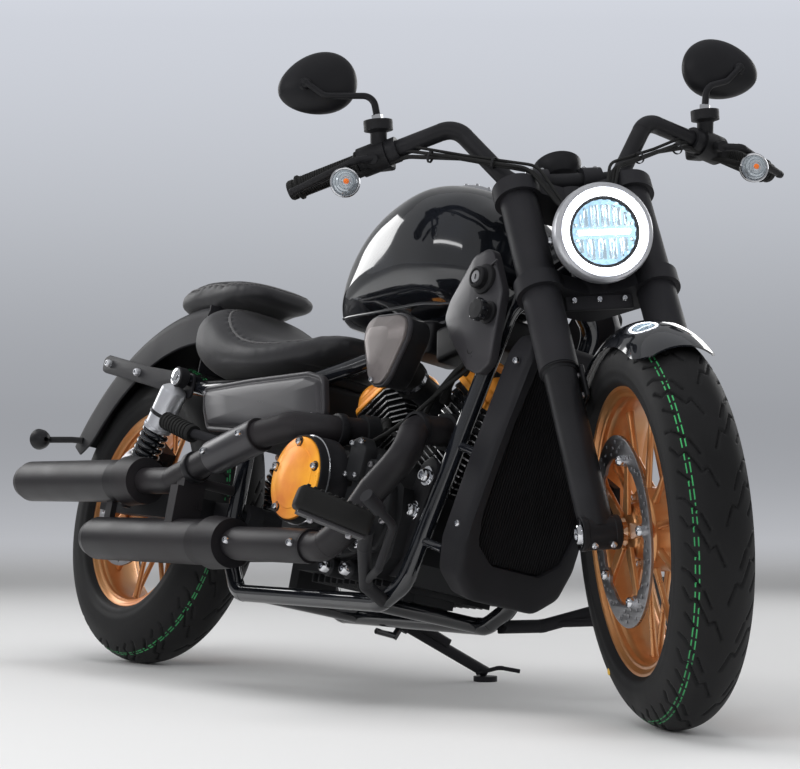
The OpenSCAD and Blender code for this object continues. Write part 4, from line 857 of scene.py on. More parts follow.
# Upright flutes of two steps above and below the bar
for row, (x, tall) in enumerate(((-24, 34), (24, 32))):
    flutes = []
    for k in range(-5, 6):
        reach = math.sqrt(max(0.0, 50.0 ** 2 - (9.4 * k) ** 2)) - 9
        high = min(tall + 4, reach)
        if high > 6:
            lean = 9 if (k + row) % 2 else -9
            flutes.append((LAMP_AT @ Matrix.Translation((math.copysign(9 + high / 2, x), 9.4 * k, 76 + 2.5 * (k % 2)))
                           @ rot(lean, "X"), (high, 8.2, 12)))
    blocks(f"lamp_flutes_{row}", flutes, PAINTED_GLOW_FACETS, "fork", 2.2)
lathe("headlamp_glass", [(R - 11.4, 96.2), (R - 20, 97.4), (R - 32, 98.4), (30, 99.4), (0.0, 99.8)], CLEAR, "fork",
      LAMP_AT, n=120, node="headlamp_lens")
for s, tag in ((1, "left"), (-1, "right")):
    lathe(f"lamp_side_bolt_{tag}", [(9, 0), (9, 3), (6.5, 4), (6, 7), (0, 7.4)], CHROME, "fork",
          Matrix.Translation(LAMP_BACK + Vector((38, s * 76, -4))) @ rot(-90 * s, "X"), n=24)


# Bars: upright points as in the solids, rider's left side first

BAR_KNEE, GRIP_END = Vector((1078, 300, 1006)), Vector((1000, 446, 964))
GRIP_DIR = (GRIP_END - BAR_KNEE).normalized()
GRIP_START = GRIP_END - GRIP_DIR * 130
TIP = GRIP_START - GRIP_DIR


def both(p):
    p = Vector(p)
    return (p, Vector((p.x, -p.y, p.z)))


grip_rows = [(16.3, 0.3), (21, 0.6), (23.5, 2), (23.5, 5), (20, 7), (18.6, 9)]
for k in range(22):
    z = 11 + k * 4.6
    grip_rows += [(19.0, z), (19.0, z + 2.4), (17.7, z + 2.9), (17.7, z + 4.1)]
grip_rows += [(19.0, 113), (19.4, 118), (22.5, 120), (22.5, 124), (20, 126), (17, 126.5), (17, 129.6),
              (18.5, 131), (18.5, 139), (16.5, 142.5), (11, 144), (0, 144)]
lathe("grips_ribbed", grip_rows, RUBBER, "fork", towards(GRIP_START, GRIP_DIR), n=56, node="grips", both=True)
lathe("control_housings", [(16.4, -52), (21, -51.6), (24, -50), (25.5, -46), (25.5, -30), (24.6, -29.4), (24.6, -28),
                           (26.4, -27.4), (27, -24), (27, -6), (25, -2), (20, -0.4), (16.4, -0.2)],
      PLASTIC, "fork", towards(TIP, GRIP_DIR), n=64, both=True)
perch = TIP - GRIP_DIR * 34
for s, tag in ((1, "left"), (-1, "right")):
    side = Vector((1, s, 1))
    at = towards(Vector((perch.x, s * perch.y, perch.z)), (GRIP_DIR.x, s * GRIP_DIR.y, GRIP_DIR.z))
    box_piece(f"switch_block_{tag}", Matrix.Translation(Vector((perch.x - 14, s * (perch.y - 8), perch.z - 4)))
              @ rot(28 * s, "Z"), (34, 44, 40), PLASTIC, "fork", 8)
    for k, (dz, mat) in enumerate(((12, RED if s < 0 else PLASTIC), (0, SILVER), (-12, PLASTIC))):
        box_piece(f"switch_button_{tag}_{k}", Matrix.Translation(Vector((perch.x - 32, s * (perch.y - 8), perch.z - 4 + dz)))
                  @ rot(28 * s, "Z"), (5, 12, 8), mat, "fork", 2)
    lathe(f"lever_clamp_{tag}", [(16.4, -11), (22.5, -11), (23.5, -9), (23.5, 9), (22.5, 11), (16.4, 11)], SATIN, "fork",
          towards(Vector((TIP.x - GRIP_DIR.x * 62, s * (TIP.y - GRIP_DIR.y * 62), TIP.z - GRIP_DIR.z * 62)),
                  (GRIP_DIR.x, s * GRIP_DIR.y, GRIP_DIR.z)), n=40)
stalk_top = perch + Vector((14, 0, 44))
tube("reservoir_stalks", [perch + Vector((2, 0, 10)), stalk_top], 13, PLASTIC, "fork", both=True)
cap = [(0, 18.6), (20, 18.6), (22, 18.2)] + [(23.2, 17), (25.4, 15.5), (25.8, 10.5), (24.2, 9.6)] + \
    [(24.8, 8), (24.8, 1.5), (22, 0), (12, -6), (0, -7)]
lathe("reservoirs", list(reversed(cap)), PLASTIC, "fork", Matrix.Translation(stalk_top), n=56, both=True)
for s, tag in ((1, "left"), (-1, "right")):
    blocks(f"reservoir_ribs_{tag}", [(Matrix.Translation((stalk_top.x + 25.4 * math.cos(a),
           s * stalk_top.y + 25.4 * math.sin(a), stalk_top.z + 13)) @ rot(math.degrees(a), "Z"), (1.4, 2.4, 5))
           for a in [2 * math.pi * k / 28 for k in range(28)]], PLASTIC, "fork", 0.3)
stem = TIP - GRIP_DIR * 34 + Vector((14, 0, 62))
lever_path = [TIP - GRIP_DIR * 14 + Vector((30, 0, -3)), TIP - GRIP_DIR * 6 + Vector((50, 2, -4)), TIP + Vector((64, 24, -6)),
              GRIP_END - GRIP_DIR * 40 + Vector((50, 0, -8)), GRIP_END + GRIP_DIR * 14 + Vector((45, 0, -8))]
path = round_path(lever_path, 20)
for s, tag in ((1, "left"), (-1, "right")):
    p = [Vector((q.x, s * q.y, q.z)) for q in path]
    n = len(p)
    radii = [8.0 - 3.0 * i / (n - 1) for i in range(n)]
    verts, faces = sweep(p, radii, 16)
    mesh_piece(f"hand_lever_{tag}", verts, faces, SATIN, "fork")
    end = p[-1]
    lathe(f"lever_ball_{tag}", [(0, -7)] + [(7.6 * math.sin(a), -7.6 * math.cos(a)) for a in
          [math.pi * k / 10 for k in range(2, 11)]], SATIN, "fork", towards(end, (GRIP_DIR.x, s * GRIP_DIR.y, GRIP_DIR.z)), n=24)


def egg(at, x, k, n=72):
    ring = []
    for i in range(n):
        c, s = math.cos(2 * math.pi * i / n), math.sin(2 * math.pi * i / n)
        u, w = 73 * k * c, 55 * k * s * (1 - 0.17 * c)
        ring.append(Vector((at[0] + x, at[1] + u * math.cos(math.radians(12)) + w * math.sin(math.radians(12)),
                            at[2] + w * math.cos(math.radians(12)) - u * math.sin(math.radians(12)))))
    return ring


def mirror_side(v, s):
    return [Vector((p.x, s * p.y, p.z)) for p in v]


for s, tag, at in ((1, "left", (1050, 356, 1150)), (-1, "right", (1050, 402, 1144))):
    rows = [(-13.4, 0.91), (-14, 0.925), (-14.2, 0.95), (-12, 0.985), (-8, 1.0), (-2, 0.995), (5, 0.955), (11, 0.88),
            (16, 0.77), (20, 0.63), (23.4, 0.46), (25.4, 0.27), (26, 0.1)]
    verts, faces = skin([mirror_side(egg(at, x, k), s) for x, k in rows])
    if s < 0:
        faces = [tuple(reversed(f)) for f in faces]
    mesh_piece(f"mirror_shell_{tag}", verts, faces, SATIN, "fork", node="mirrors" if s > 0 else None, smooth=50)
    verts, faces = skin([mirror_side(egg(at, x, k), s) for x, k in ((-13.6, 0.9), (-12.6, 0.88), (-12.6, 0.01))])
    if s < 0:
        faces = [tuple(reversed(f)) for f in faces]
    mesh_piece(f"mirror_glass_{tag}", verts, [tuple(reversed(f)) for f in faces], MIRROR, "fork")
    foot = Vector((stem.x, s * stem.y, stem.z))
    a = Vector(at)
    knee, boss = a + Vector((40, 0, -30)), a + Vector((25, 26, -4))
    pts = [foot, foot + Vector((4, s * 6, 44)), Vector((knee.x, s * (knee.y - 4), knee.z)), Vector((boss.x + 7, s * boss.y, boss.z))]
    p = round_path(pts, 22, 8)
    verts, faces = sweep(p, [6.6 - 1.4 * i / (len(p) - 1) for i in range(len(p))], 18)
    mesh_piece(f"mirror_stem_{tag}", verts, faces, SATIN, "fork")
    lathe(f"mirror_joint_{tag}", [(0, 16), (5, 15.4), (8.4, 13), (10, 9), (10, 6), (13, 3), (16, -4)], SATIN, "fork",
          Matrix.Translation((boss.x - 6, s * boss.y, boss.z)) @ rot(90, "Y"), n=36)
    lathe(f"mirror_nut_{tag}", [(6, 0), (9.6, 0), (10.2, 1), (10.2, 10), (9.2, 11), (6, 11)], CHROME, "fork",
          towards(foot, (0.05, 0.1 * s, 1)), n=6, smooth=0)


LAMP_SPOT = Vector((1098, 378, 952))
lathe("indicator_shells", [(0, -2), (9, -1), (15, 2), (21, 9), (25, 17), (26.4, 24), (26.4, 27), (24.6, 28.4)], SATIN,
      "fork", Matrix.Translation(LAMP_SPOT) @ rot(90, "Y"), n=72, node="front_indicators", both=True)
lathe("indicator_rims", [(26.2, 24.5), (27, 26), (27, 29.5), (25.4, 31.4), (23.2, 30.6), (22.6, 28)], CHROME, "fork",
      Matrix.Translation(LAMP_SPOT) @ rot(90, "Y"), n=72, both=True)
lens = [(22.8, 29), (21.5, 33.5), (19.6, 36.0), (18.8, 35.0), (17.6, 37.2), (14.8, 38.8), (13.8, 37.8), (12.6, 39.4),
        (8.8, 40.4), (7.8, 39.4), (6, 40.4), (0, 40.8)]
lathe("indicator_lenses", lens, LAMP_GLASS, "fork", Matrix.Translation(LAMP_SPOT) @ rot(90, "Y"), n=72, both=True)
lathe("indicator_bulbs", [(5.4, 39.5), (5, 41.0), (3.4, 41.8), (0, 42)], AMBER, "fork",
      Matrix.Translation(LAMP_SPOT) @ rot(90, "Y"), n=24, both=True)
tube("indicator_stalks", [LAMP_SPOT + Vector((8, 0, 4)), TIP - GRIP_DIR * 24 + Vector((6, 0, -20))], 5.6, RUBBER,
     "fork", both=True)

# Gauge pod, bar clamps and cable run
gauge_at = towards(on_steer(866) - 22 * STEER_FWD, STEER_DIR)
gauge = gauge_at @ Matrix.Translation((-4, 0, 92))
lathe("gauge_pod", [(0, 0), (20, 0.6), (31, 5), (38, 14), (42, 24), (44, 32), (44.4, 34.6), (43, 36), (40, 35.4),
                    (38.6, 33)], SATIN, "fork", gauge, n=96, node="gauge")
lathe("gauge_face", [(38.8, 33.2), (37, 33.8), (0, 34.2)], DIAL, "fork", gauge, n=72)
lathe("gauge_stalk", [(7, 0), (7, 62), (15, 66)], PLASTIC, "fork", gauge_at @ Matrix.Translation((0, 0, 30)), n=32)
blocks("gauge_ticks", [(gauge @ rot(30 * k + 30, "Z") @ Matrix.Translation((32, 0, 34.3)), (5, 1.2, 0.5))
       for k in range(11)], SILVER, "fork", 0.2)
BAR_MID = Vector((1196, 0, 926))
clamp_spots = [(BAR_MID + Vector((-0, s * 48 + y, 0)) + STEER_DIR * 25.2 + Vector((x, 0, 0)), STEER_DIR)
               for s in (1, -1) for y in (-10, 10) for x in (-13, 13)]
bolts("bar_clamp_bolts", clamp_spots, 9, "fork")
FOOT = LAMP_BACK + Vector((13, 30, 43.8))
WAY = Vector((-0.707, 0.4, 0.583))
for k, (dy, dz, r) in enumerate(((0, 0, 4.0), (9, 3, 3.2), (-7, 5, 2.8))):
    side_off = Vector((8, 0, -20))
    side_off -= GRIP_DIR * GRIP_DIR.dot(side_off)
    a = TIP - GRIP_DIR * 52.3 + side_off * (1 - 0.5 * k) + Vector((0, 0, dz * 0.5))
    pts = [a, a - GRIP_DIR * 32, Vector((1180, 180 + dy, 978 + dz)), Vector((1262, 72 + dy, 937 + dz * 2)),
           FOOT + WAY * 32 + Vector((0, dy * 0.6, dz)), FOOT + WAY * 0.3]
    tube(f"control_cable_{k}", pts, r, RUBBER, "fork", bend=46, sides=12,
         node="control_cables" if k == 0 else None, both=True)
for k, p in enumerate(((1148, 224, 985), (1222, 128, 958))):
    lathe(f"cable_tie_{k}", [(9.5, -2.5), (10.6, -2), (10.6, 2), (9.5, 2.5)], PLASTIC, "fork",
          towards(Vector(p) + Vector((0, 3, 3)), (0.55, -0.75, -0.3)), n=24, both=True)

# Lower lamp panel between the fork legs
box_piece("lamp_bracket_panel", Matrix.Translation(Vector((1352, 0, 712))) @ rot(-14, "Y"), (8, 118, 60), MATT, "fork", 3)
bolts("lamp_bracket_bolts", [(Vector((1357, y, 700)), Vector((1, 0, 0.2))) for y in (-44, 0, 44)], 12, "fork")


# Fuel tank

TANK_ROWS = [(646, 44, 684, 702), (664, 70, 682, 732), (696, 96, 682, 784), (740, 118, 682, 838), (800, 138, 682, 886),
             (870, 152, 684, 918), (950, 160, 686, 934), (1030, 154, 682, 918), (1084, 132, 690, 884),
             (1110, 104, 706, 856), (1122, 74, 730, 828)]
tank = smooth_rows(TANK_ROWS, 72)
verts, faces = skin([oval(*r, 2.5, 112) for r in tank])
mesh_piece("tank_shell", verts, faces, GLOSS, "chassis", node="fuel_tank", smooth=60)


def tank_flank(r, z):
    mid, half = (r[2] + r[3]) / 2, (r[3] - r[2]) / 2
    return r[1] * max(0.0, 1 - abs((z - mid) / half) ** 2.5) ** 0.4


seam = [Vector((r[0], tank_flank(r, r[2] + 13) + 0.6, r[2] + 13)) for r in tank[8:-6]]
tube("tank_seams", seam[::3], 3.2, GLOSS, "chassis", bend=20, sides=12, both=True)
CAP_AT = Matrix.Translation((935, 0, 934))
lathe("tank_cap", [(30, -14), (38.5, -4), (38.5, 0.4), (37.4, 2.0), (34.6, 2.6), (34.2, 5.2), (33, 7.8), (29, 9.6),
                   (18, 11.2), (14, 11.4), (13.4, 10.4), (9, 10.2), (0, 10.2)], CHROME, "chassis", CAP_AT, n=96, node="fuel_cap")
lathe("tank_cap_lock", [(12.8, 9), (12.8, 11.6), (12, 12.2), (0, 12.2)], STEEL, "chassis", CAP_AT, n=40)
bolts("tank_cap_bolts", [(CAP_AT @ Vector((24.5 * math.cos(a), 24.5 * math.sin(a), 9.8)), Vector((0, 0, 1)))
                         for a in [math.radians(60 * k + 20) for k in range(6)]], 6.5, "chassis")


# Seats: shapes a little small, blown up as sewn covers are, then seamed

def padded_piece(name, rows, power, mat, node, fill, cap_mm, pinned_below):
    verts, faces = skin([oval(r[0], r[1] - 3.5, r[2] + 2, r[3] - 3.5, power, 72) for r in smooth_rows(rows, 44)])
    me = bpy.data.meshes.new(name)
    me.from_pydata([tuple(v * 0.001) for v in verts], [], faces)
    ob = bpy.data.objects.new(name, me)
    bpy.context.scene.collection.objects.link(ob)
    grid = ob.modifiers.new("voxels", "REMESH")
    grid.mode = "VOXEL"
    grid.voxel_size = 0.0055
    bake(ob)
    rest = [v.co.copy() for v in ob.data.vertices]
    held = ob.vertex_groups.new(name="held")
    held.add([i for i, c in enumerate(rest) if c.z * 1000 < pinned_below], 1.0, "REPLACE")
    cloth = ob.modifiers.new("cover", "CLOTH")
    cloth.settings.use_pressure = True
    cloth.settings.uniform_pressure_force = 4
    cloth.settings.tension_stiffness = 25
    cloth.settings.compression_stiffness = 25
    cloth.settings.vertex_group_mass = "held"
    cloth.settings.effector_weights.gravity = 0
    scene = bpy.context.scene
    for f in range(1, 21):
        scene.frame_set(f)
    bake(ob)
    scene.frame_set(1)
    limit = cap_mm / 1000
    for v, c in zip(ob.data.vertices, rest):
        step = v.co - c
        if step.length > limit:
            v.co = c + step * (limit / step.length)
    bm = bmesh.new()
    bm.from_mesh(ob.data)
    for _ in range(3):
        bmesh.ops.smooth_vert(bm, verts=bm.verts, factor=0.5, use_axis_x=True, use_axis_y=True, use_axis_z=True)
    bmesh.ops.scale(bm, vec=(1000, 1000, 1000), verts=bm.verts)
    bm.to_mesh(ob.data)
    bm.free()
    more = ob.modifiers.new("subdivision", "SUBSURF")
    more.levels = more.render_levels = 1
    bake(ob)
    return ob


def press_seams(ob, lines, depth, width):
    """Draws the cover in along lines on its top, as a stitched channel does."""
    path = np.array([(p.x, p.y) for line in lines for p in line])
    n = len(ob.data.vertices)
    co = np.empty(n * 3)
    ob.data.vertices.foreach_get("co", co)
    co = co.reshape(n, 3)
    no = np.empty(n * 3)
    ob.data.vertices.foreach_get("normal", no)
    no = no.reshape(n, 3)
    top = np.nonzero(no[:, 2] > 0.15)[0]
    for part in np.array_split(top, max(1, len(top) // 4000)):
        d = np.sqrt(((co[part, None, :2] - path[None]) ** 2).sum(2)).min(1)
        co[part] -= no[part] * (depth * np.exp(-(d / width) ** 2))[:, None]
    ob.data.vertices.foreach_set("co", co.ravel())
    ob.data.update()


def draped(ob, line, lift):
    """A plan line laid onto the top of a piece."""
    tree = BVHTree.FromPolygons([v.co.copy() for v in ob.data.vertices], [tuple(p.vertices) for p in ob.data.polygons])
    out = []
    for p in line:
        hit, normal, _, _ = tree.ray_cast(Vector((p.x, p.y, 1200)), Vector((0, 0, -1)))
        if hit is not None:
            out.append(hit + normal * lift)
    return out


def closed_tube(name, pts, r, mat, body, sides=12):
    n = len(pts)
    verts, faces = [], []
    for i, p in enumerate(pts):
        way = (pts[(i + 1) % n] - pts[i - 1]).normalized()
        u = way.cross(Vector((0, 0, 1))).normalized()
        w = u.cross(way)
        verts += [p + (u * math.cos(a) + w * math.sin(a)) * r for a in [2 * math.pi * k / sides for k in range(sides)]]
    for i in range(n):
        for k in range(sides):
            j, m = (k + 1) % sides, (i + 1) % n
            faces.append((i * sides + k, i * sides + j, m * sides + j, m * sides + k))
    return mesh_piece(name, verts, faces, mat, body, smooth=60)


def stitches(name, pts, mat, body, gap=7.0, length=4.2):
    items = []
    walked, last = 0.0, None
    for a, b in zip(pts, pts[1:]):
        if last is None or (a - last).length >= gap:
            last = a
            items.append((towards(a, b - a), (1.3, 1.3, length)))
    return blocks(name, items, mat, body, 0.5)


def ring_line(table, n=30):
    half = [Vector((x, y, 0)) for x, y in smooth_rows(table, n)]
    return half + [Vector((p.x, -p.y, 0)) for p in reversed(half[1:-1])]


SEAT_ROWS = [(206, 108, 640, 700), (222, 134, 606, 738), (264, 150, 586, 745), (318, 158, 580, 718), (392, 158, 578, 678),
             (478, 154, 578, 660), (564, 138, 590, 658), (632, 112, 616, 664), (672, 86, 632, 668), (690, 62, 642, 664)]
seat = padded_piece("rider_seat_cover", SEAT_ROWS, 2.6, LEATHER, "rider_seat", 0.8, 6.0, 600)
pad_edge = ring_line([(262, 0), (264, 52), (282, 92), (330, 118), (400, 126), (480, 121), (560, 104), (614, 70), (640, 34),
                      (646, 0)])
press_seams(seat, [pad_edge], 3.4, 6.5)
piping = draped(seat, pad_edge, 1.4)
finish_piece(seat, LEATHER, "chassis", node="rider_seat", smooth=0)
seat.data.shade_smooth()
closed_tube("seat_piping", piping, 2.6, LEATHER_FINE, "chassis")
inner_edge = [Vector((454 + (p.x - 454) * 0.955, p.y * 0.93, 0)) for p in pad_edge]

PILLION_ROWS = [(28, 60, 748, 776), (40, 82, 742, 792), (76, 94, 738, 806), (140, 98, 740, 812), (240, 96, 746, 808),
                (310, 84, 750, 798), (336, 66, 756, 790), (344, 44, 762, 782)]
pillion = padded_piece("pillion_cover", PILLION_ROWS, 2.8, LEATHER, "pillion_seat", 0.8, 5.0, 748)
cross = [[Vector((x + 0.0012 * y * y, y, 0)) for y in range(-84, 85, 6)] for x in (84, 112)]
pad_ring = ring_line([(46, 0), (50, 52), (66, 76), (130, 84), (230, 82), (300, 70), (326, 44), (332, 0)])
press_seams(pillion, cross + [pad_ring], 2.8, 5.0)
cross_runs = [draped(pillion, line, 0.4) for line in cross]
pillion_piping = draped(pillion, pad_ring, 1.0)
finish_piece(pillion, LEATHER, "chassis", node="pillion_seat", smooth=0)
pillion.data.shade_smooth()
closed_tube("pillion_piping", pillion_piping, 2.2, LEATHER_FINE, "chassis")
for k, run in enumerate(cross_runs):
    stitches(f"pillion_stitches_{k}", run, THREAD, "chassis")
box_piece("pillion_pan", Matrix.Translation((125, 0, 748)), (150, 118, 22), PLASTIC, "chassis", 6)


# Fenders: one curved sheet each, swept about the fender's centre

def fender(name, centre, start, end, sections, steps, mat, body, node):
    """sections(t) gives the closed (radius, y) outline at t from 0 to 1."""
    rings = []
    for i in range(steps + 1):
        t = i / steps
        a = math.radians(start + (end - start) * t)
        rings.append([centre + Vector((r * math.cos(a), y, r * math.sin(a))) for r, y in sections(t)])
    verts, faces = skin(rings)
    ob = mesh_piece(name, verts, faces, mat, body, node=node, smooth=45)
    bm = bmesh.new()
    bm.from_mesh(ob.data)
    bmesh.ops.recalc_face_normals(bm, faces=bm.faces)
    bm.to_mesh(ob.data)
    bm.free()
    return ob


def rear_section(t):
    r, half, wall = 578.0, 98.0, 3.2
    skirt = 84.0 - 26 * max(0.0, (t - 0.86) / 0.14) ** 2
    outer = [(r - skirt, half)]
    for k in range(9):
        a = math.pi / 2 * k / 8
        outer.append((r - 30 + 30 * math.sin(a), half - 34 + 34 * math.cos(a)))
    outer += [(r + 0.6, 40), (r + 1.2, 0), (r + 0.6, -40)]
    outer += [(p[0], -p[1]) for p in reversed(outer[:10])]
    inner = [(p[0] - wall * 0.8, p[1] - math.copysign(wall * 0.8, p[1])) for p in reversed(outer)]
    return outer + inner


def front_section(t):
    r, radius, wall = 252.0, 75.0, 3.0
    end = min(t, 1 - t)
    reach = 61.5 - 24 * max(0.0, 1 - end / 0.10) ** 2
    outer = [(r + radius * math.cos(math.radians(a)), radius * math.sin(math.radians(a)))
             for a in np.linspace(-reach, reach, 27)]
    inner = [(r + (radius - wall) * math.cos(math.radians(a)), (radius - wall) * math.sin(math.radians(a)))
             for a in np.linspace(reach, -reach, 27)]
    return outer + inner


REAR_FENDER_AT = Vector((190, 0, 175))
fender("rear_fender_sheet", REAR_FENDER_AT, 89.4, 150, rear_section, 72, MATT, "chassis", "rear_fender")
fender("front_fender_sheet", FRONT_AXLE, 56, 146, front_section, 90, GLOSS, "fork", "front_fender")
box_piece("fender_front_wall", Matrix.Translation((195, 0, 676)), (4, 190, 146), MATT, "chassis", 1)
for s in (1, -1):
    tag = "left" if s > 0 else "right"
    foot, lug = on_leg(FRONT_AXLE.z + 240), Vector((0, s, 0))
    box_piece(f"fender_bracket_{tag}", Matrix.Translation(foot + lug * 66) @ rot(-RAKE, "Y"), (34, 7, 62), SATIN, "fork", 3)
    bolts(f"fender_bolts_{tag}", [(foot + lug * 69 + STEER_DIR * z, lug) for z in (-20, 20)], 11, "fork", STEEL)

# Fender struts, tail lamp and rear indicators
strut = rounded([(262, 536), (262, 588), (226, 590), (60, 612), (-128, 646), (-150, 640), (-150, 612), (-132, 606),
                 (60, 572), (190, 548), (226, 536)], 16)
plate("fender_struts", [strut], 6.0, MATT, "chassis", right_side(136.5), 1.6, both=True)
bolts("strut_bolts", [((-118, -139.5, 626), (0, -1, 0)), ((20, -139.5, 600), (0, -1, 0))], 17, "chassis", SILVER, both=True)
LAMP_TAIL = REAR_FENDER_AT + Vector((math.cos(math.radians(139)), 0, math.sin(math.radians(139)))) * 579
tail = towards(LAMP_TAIL, Vector((math.cos(math.radians(139)), 0, math.sin(math.radians(139)))))
tail_outline = rounded([(-24, -54), (24, -54), (24, 54), (-24, 54)], 20, 8)
pillow("tail_lamp_base", tail_outline, [(0, -8), (0, 7), (1, 8), (4, 8.4), (-0.9, 8.4)], PLASTIC, "chassis", tail, smooth=40)
pillow("tail_lamp_lens", tail_outline, [(3, 7), (3, 15), (4, 19), (7, 22.5), (11, 24), (-0.5, 26), (-0.9, 26.4)], RED,
       "chassis", tail, node="tail_lamp", smooth=50)
lathe("rear_indicator_shells", [(5, -22), (12, -18), (18, -9), (22, 2), (23.6, 12), (22, 14)], SATIN, "chassis",
      Matrix.Translation((-332, 162, 456)) @ rot(-90, "Y"), n=56, node="rear_indicators", both=True)
lathe("rear_indicator_lenses", [(22, 13), (21.4, 17), (18.6, 20), (17.6, 19), (16.4, 21.6), (11, 23.6), (10, 22.6),
                                (9, 24.2), (0, 25)], LAMP_GLASS, "chassis",
      Matrix.Translation((-332, 162, 456)) @ rot(-90, "Y"), n=56, both=True)
tube("rear_indicator_stalks", [(-258, 96, 466), (-282, 112, 465), (-334, 152, 457)], 7, PLASTIC, "chassis", both=True)


# Engine

CRANK = Vector((965, 0, 300))
BANK = {s: Matrix.Translation(CRANK) @ rot(33 * s, "Y") for s in (1, -1)}
HEAD_HIGH, COVER_HIGH, LOBE_R = 276.0, 334.0, 28.0
fin_bands, fin_bolts = [], []
for s, at in BANK.items():
    pitch = (226 - 104 - 8) / 10
    for z in [104 + 6 + k * pitch for k in range(11)] + [226 + 12 + k * 13 for k in range(3)]:
        for side in (1, -1):
            fin_bands.append((at @ Matrix.Translation((-24, side * 74.2, z + 1.75)), (40, 1.6, 3.0)))
            fin_bands.append((at @ Matrix.Translation((23, side * 74.2, z + 1.75)), (42, 1.6, 3.0)))
            fin_bands.append((at @ Matrix.Translation((side * 66.2, 0, z + 1.75)), (1.6, 98, 3.0)))
            for end in (1, -1):
                corner = Matrix.Translation((end * 55.2, side * 63.2, z + 1.75)) @ rot(45 * end * side * -1, "Z")
                fin_bands.append((at @ corner, (30, 1.4, 3.0)))
    for x in (-50, 50):
        for side in (1, -1):
            fin_bolts.append((at @ Vector((x, side * 58, HEAD_HIGH - 1)), at.to_3x3() @ Vector((0, 0, 1))))
blocks("fin_edges", fin_bands, FIN_EDGE, "chassis", 0.3)
bolts("head_bolts", fin_bolts, 12, "chassis")


def lobe_rows(half, low, high, n=34):
    rows = []
    for k in range(n + 1):
        t = -math.cos(math.pi * k / n)
        f = max(0.0, 1 - abs(t) ** 4.5) ** (1 / 3.2)
        dip = 1.0 - 0.10 * math.exp(-(t / 0.22) ** 2)
        rows.append((t * half, (LOBE_R + 1.5) * (0.25 + 0.75 * f), low, low + (high - low) * (0.12 + 0.88 * f) * dip))
    return rows


cover_base = rounded([(-66, -52), (-52, -71), (52, -71), (66, -52), (66, 52), (52, 71), (-52, 71), (-66, 52)], 12, 4)
cover_bolts, spark_caps = [], []
for s, at in BANK.items():
    tag = "front" if s > 0 else "rear"
    base = [(0, HEAD_HIGH + 0.4), (0, 285), (1, 287), (4, 288), (6, 290), (7.5, 300), (9, 305), (13, 308), (20, 309),
            (-0.4, 308), (-0.9, 308)]
    pillow(f"rocker_cover_{tag}", cover_base, base, ORANGE, "chassis", at, smooth=40,
           node="rocker_covers" if s > 0 else None)
    for o in (-30, 30):
        verts, faces = skin([oval(*r, 2.2, 40) for r in lobe_rows(61, 292, COVER_HIGH)])
        mesh_piece(f"rocker_lobe_{tag}_{'a' if o < 0 else 'b'}", verts, faces, ORANGE, "chassis",
                   at @ Matrix.Translation((o, 0, 0)) @ rot(90, "Z"), smooth=60)
    up = at.to_3x3() @ Vector((0, 0, 1))
    for y in (-50, 0, 50):
        cover_bolts.append((at @ Vector((0, y, 309)), up))
    for x in (-55, 55):
        for y in (-58, 58):
            cover_bolts.append((at @ Vector((x, y, 288)), up))
bolts("cover_bolts", cover_bolts, 11, "chassis")

# Air cleaner: outline of the housing, a rim, then a face cut into two slopes
AIR = right_side(0, 1018, 580)
AIR_PLAN = [(-66, 44), (-56, 62), (-34, 68), (34, 68), (56, 62), (66, 44), (64, 22), (30, -48), (14, -64), (-14, -64),
            (-30, -48), (-64, 22)]
air_plan = rounded(AIR_PLAN, 30, 6)
small = [(x * 0.93, z * 0.93) for x, z in air_plan]
pillow("air_housing", small, [(3, 148), (0, 152), (0, 193), (2, 195), (-0.9, 195)], PLASTIC, "chassis", AIR,
       node="air_cleaner", smooth=40)
pillow("air_backplate", air_plan, [(2, 190), (0, 192), (0, 198), (1.2, 199.6), (3, 200), (4, 198.6), (5, 198.4), (-0.9, 198.4)],
       GREY, "chassis", AIR, smooth=40)
face = [Vector((x * 0.925, z * 0.925)) for x, z in air_plan]
peak = Vector((-15, 12))
rings = []
for k, h in ((1.0, 198), (1.0, 202.5), (0.992, 204.4), (0.975, 205.6), (0.95, 206.4)):
    rings.append([Vector((p.x * k, p.y * k, h)) for p in face])
for k, h in ((0.60, 214.0), (0.575, 214.9), (0.54, 215.3), (0.2, 215.5), (0.02, 215.5)):
    rings.append([Vector((peak.x + (p.x - peak.x) * k, peak.y + (p.y - peak.y) * k, h)) for p in face])
verts, faces = skin(rings)
mesh_piece("air_cleaner_face", verts, faces, TITAN, "chassis", AIR, smooth=22)
bolts("air_cleaner_bolts", [((1010, -207, 527), (0, -1, 0))], 10, "chassis")
neck_from, neck_to = Vector((978, -96, 546)), Vector((1008, -160, 574))
tube("intake_boot", [neck_from, neck_to], 31.5, RUBBER, "chassis", sides=40)
lathe("intake_clamp", [(31, -5), (33.4, -5), (33.4, 5), (31, 5)], CHROME, "chassis",
      towards(neck_from.lerp(neck_to, 0.3), neck_to - neck_from), n=48)

